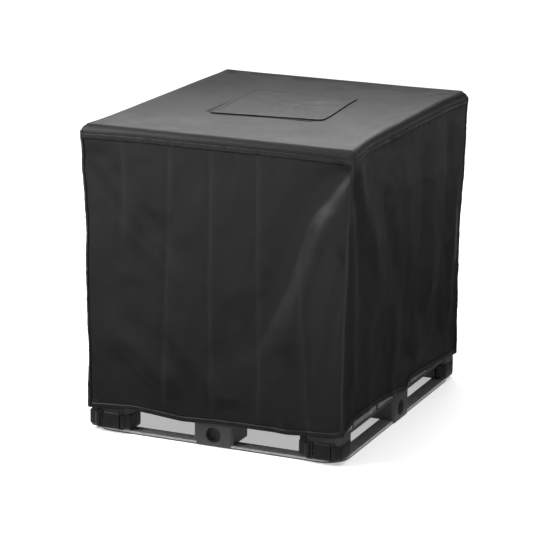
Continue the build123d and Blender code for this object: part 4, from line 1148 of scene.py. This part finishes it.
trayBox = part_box("deck_tray")
clipModel = makeClip()
clips = []
clipBase = trayBox[0].z - clipSpec["below"]
for side in (-1, 1):
    for along in clipSpec["sidePlaces"]:
        clips.append((side * (trayBox[1].x + clipSpec["clear"]), along, side * math.pi / 2))
    for along in clipSpec["endPlaces"]:
        clips.append((along, side * (trayBox[1].y + clipSpec["clear"]), 0 if side < 0 else math.pi))
madeClips = []
for clipX, clipY, angle in clips:
    clip = copyOf(clipModel, "clipCopy")
    points = places(clip)
    c, s = math.cos(angle), math.sin(angle)
    # the clip's plain face lies against the tray and its pressed face looks outwards
    localX, localY = points[:, 0].copy(), points[:, 1] - clipSpec["thickness"]
    points[:, 0] = clipX + localX * c - localY * s
    points[:, 1] = clipY + localX * s + localY * c
    points[:, 2] += clipBase
    setPlaces(clip, points)
    madeClips.append(clip)
trayClips = joined(madeClips, "trayClips")
bpy.data.objects.remove(clipModel)
dress(trayClips, clipSteelPaintedShade, "container")
print("tray clips made")


# floor, lights and camera
stageSpec = {
    "floorSize": 30, "floorLevel": -0.0005, "floorShade": 0.90, "floorGlow": 0.42, "boardShade": 0.01,
    "world": 0.30,
    "sun": {"from": (-0.15, 0.12, 1.0), "strength": 1.5, "angle": 50},
    "panels": {
        "backPanel": {"place": (-1.5, 3.4, 3.1), "aim": (-0.1, -0.4, 1.15), "size": (4.0, 1.2), "power": 85},
        "frontPanel": {"place": (-2.4, -2.4, 2.6), "aim": (-0.1, -0.6, 0.9), "size": (1.2, 1.0), "power": 120},
        "sidePanel": {"place": (2.6, -1.6, 3.2), "aim": (0.5, -0.1, 1.1), "size": (1.0, 1.0), "power": 30},
    },
    "boards": {
        "sideBoard": {"place": (2.37, 3.1, 0.002), "size": (3.66, 7.8), "turn": (0, 0, 0)},
        "frontBoard": {"place": (-0.83, -1.5725, 0.002), "size": (2.74, 1.855), "turn": (0, 0, 0)},
        "backBoard": {"place": (-0.50, 1.20, 1.41), "size": (3.4, 0.70), "turn": (math.pi / 2, 0, 0.405)},
    },
}


def stageMaterial(materialName, level, roughness):
    material, tree, shader = newMaterial(materialName)
    feed(tree, shader, {"Base Color": shade(level), "Roughness": roughness, "Specular IOR Level": 0.0})
    return material, shader


def makeFloor(spec):
    clearSelection()
    bpy.ops.mesh.primitive_plane_add(size=spec["floorSize"], location=(0, 0, spec["floorLevel"]))
    floor = named("studioFloor")
    material, shader = stageMaterial("studioFloor", spec["floorShade"], 0.7)
    feed(None, shader, {"Emission Color": shade(1), "Emission Strength": spec["floorGlow"]})
    wear(floor, material)


def makeLight(lightName, spec):
    light = bpy.data.lights.new(lightName, "AREA")
    light.shape = "RECTANGLE"
    light.size, light.size_y = spec["size"]
    light.energy = spec["power"]
    lamp = bpy.data.objects.new(lightName, light)
    lamp.location = spec["place"]
    lamp.rotation_euler = (Vector(spec["aim"]) - Vector(spec["place"])).to_track_quat("-Z", "Y").to_euler()
    lamp.visible_camera = False
    bpy.context.collection.objects.link(lamp)


def makeBoard(boardName, spec):
    # a black board that only reflections see, as a studio uses to keep dark sides dark
    clearSelection()
    bpy.ops.mesh.primitive_plane_add(size=1, location=spec["place"], rotation=spec["turn"])
    board = named(boardName)
    board.scale = (*spec["size"], 1)
    bpy.ops.object.transform_apply(location=True, rotation=True, scale=True)
    wear(board, stageMaterial(boardName, stageSpec["boardShade"], 0.9)[0])
    board.visible_camera = board.visible_diffuse = board.visible_shadow = board.visible_transmission = False


def makeSun(lightName, spec):
    light = bpy.data.lights.new(lightName, "SUN")
    light.energy = spec["strength"]
    light.angle = math.radians(spec["angle"])
    lamp = bpy.data.objects.new(lightName, light)
    lamp.rotation_euler = Vector(spec["from"]).to_track_quat("Z", "Y").to_euler()
    bpy.context.collection.objects.link(lamp)


makeFloor(stageSpec)
world = bpy.data.worlds.new("studioWorld")
bpy.context.scene.world = world
world.use_nodes = True
background = world.node_tree.nodes["Background"]
background.inputs["Color"].default_value = (1, 1, 1, 1)
background.inputs["Strength"].default_value = stageSpec["world"]
makeSun("overheadLight", stageSpec["sun"])
for lightName, spec in stageSpec["panels"].items():
    makeLight(lightName, spec)
for boardName, spec in stageSpec["boards"].items():
    makeBoard(boardName, spec)
bpy.context.scene.view_settings.view_transform = "Standard"

cameraSpec = {"azimuth": 23.21, "elevation": 14.87, "distance": 9.852, "target": (-0.0557, 0.0, 0.5265),
              "roll": 0.0128, "lens": 175.88}


def makeCamera(spec):
    azimuth = math.radians(spec["azimuth"])
    elevation = math.radians(spec["elevation"])
    back = Vector((math.sin(azimuth) * math.cos(elevation), -math.cos(azimuth) * math.cos(elevation),
                   math.sin(elevation)))
    right = Vector((0, 0, 1)).cross(back).normalized()
    up = back.cross(right)
    c, s = math.cos(spec["roll"]), math.sin(spec["roll"])
    tiltedRight = right * c + up * s
    tiltedUp = up * c - right * s
    camera = bpy.data.cameras.new("camera")
    camera.lens = spec["lens"]
    camera.sensor_width = 36
    camera.clip_end = 100
    holder = bpy.data.objects.new("camera", camera)
    turn = Matrix((tiltedRight, tiltedUp, back)).transposed().to_4x4()
    holder.matrix_world = Matrix.Translation(Vector(spec["target"]) + back * spec["distance"]) @ turn
    bpy.context.collection.objects.link(holder)
    bpy.context.scene.camera = holder


makeCamera(cameraSpec)

print("scene ready")
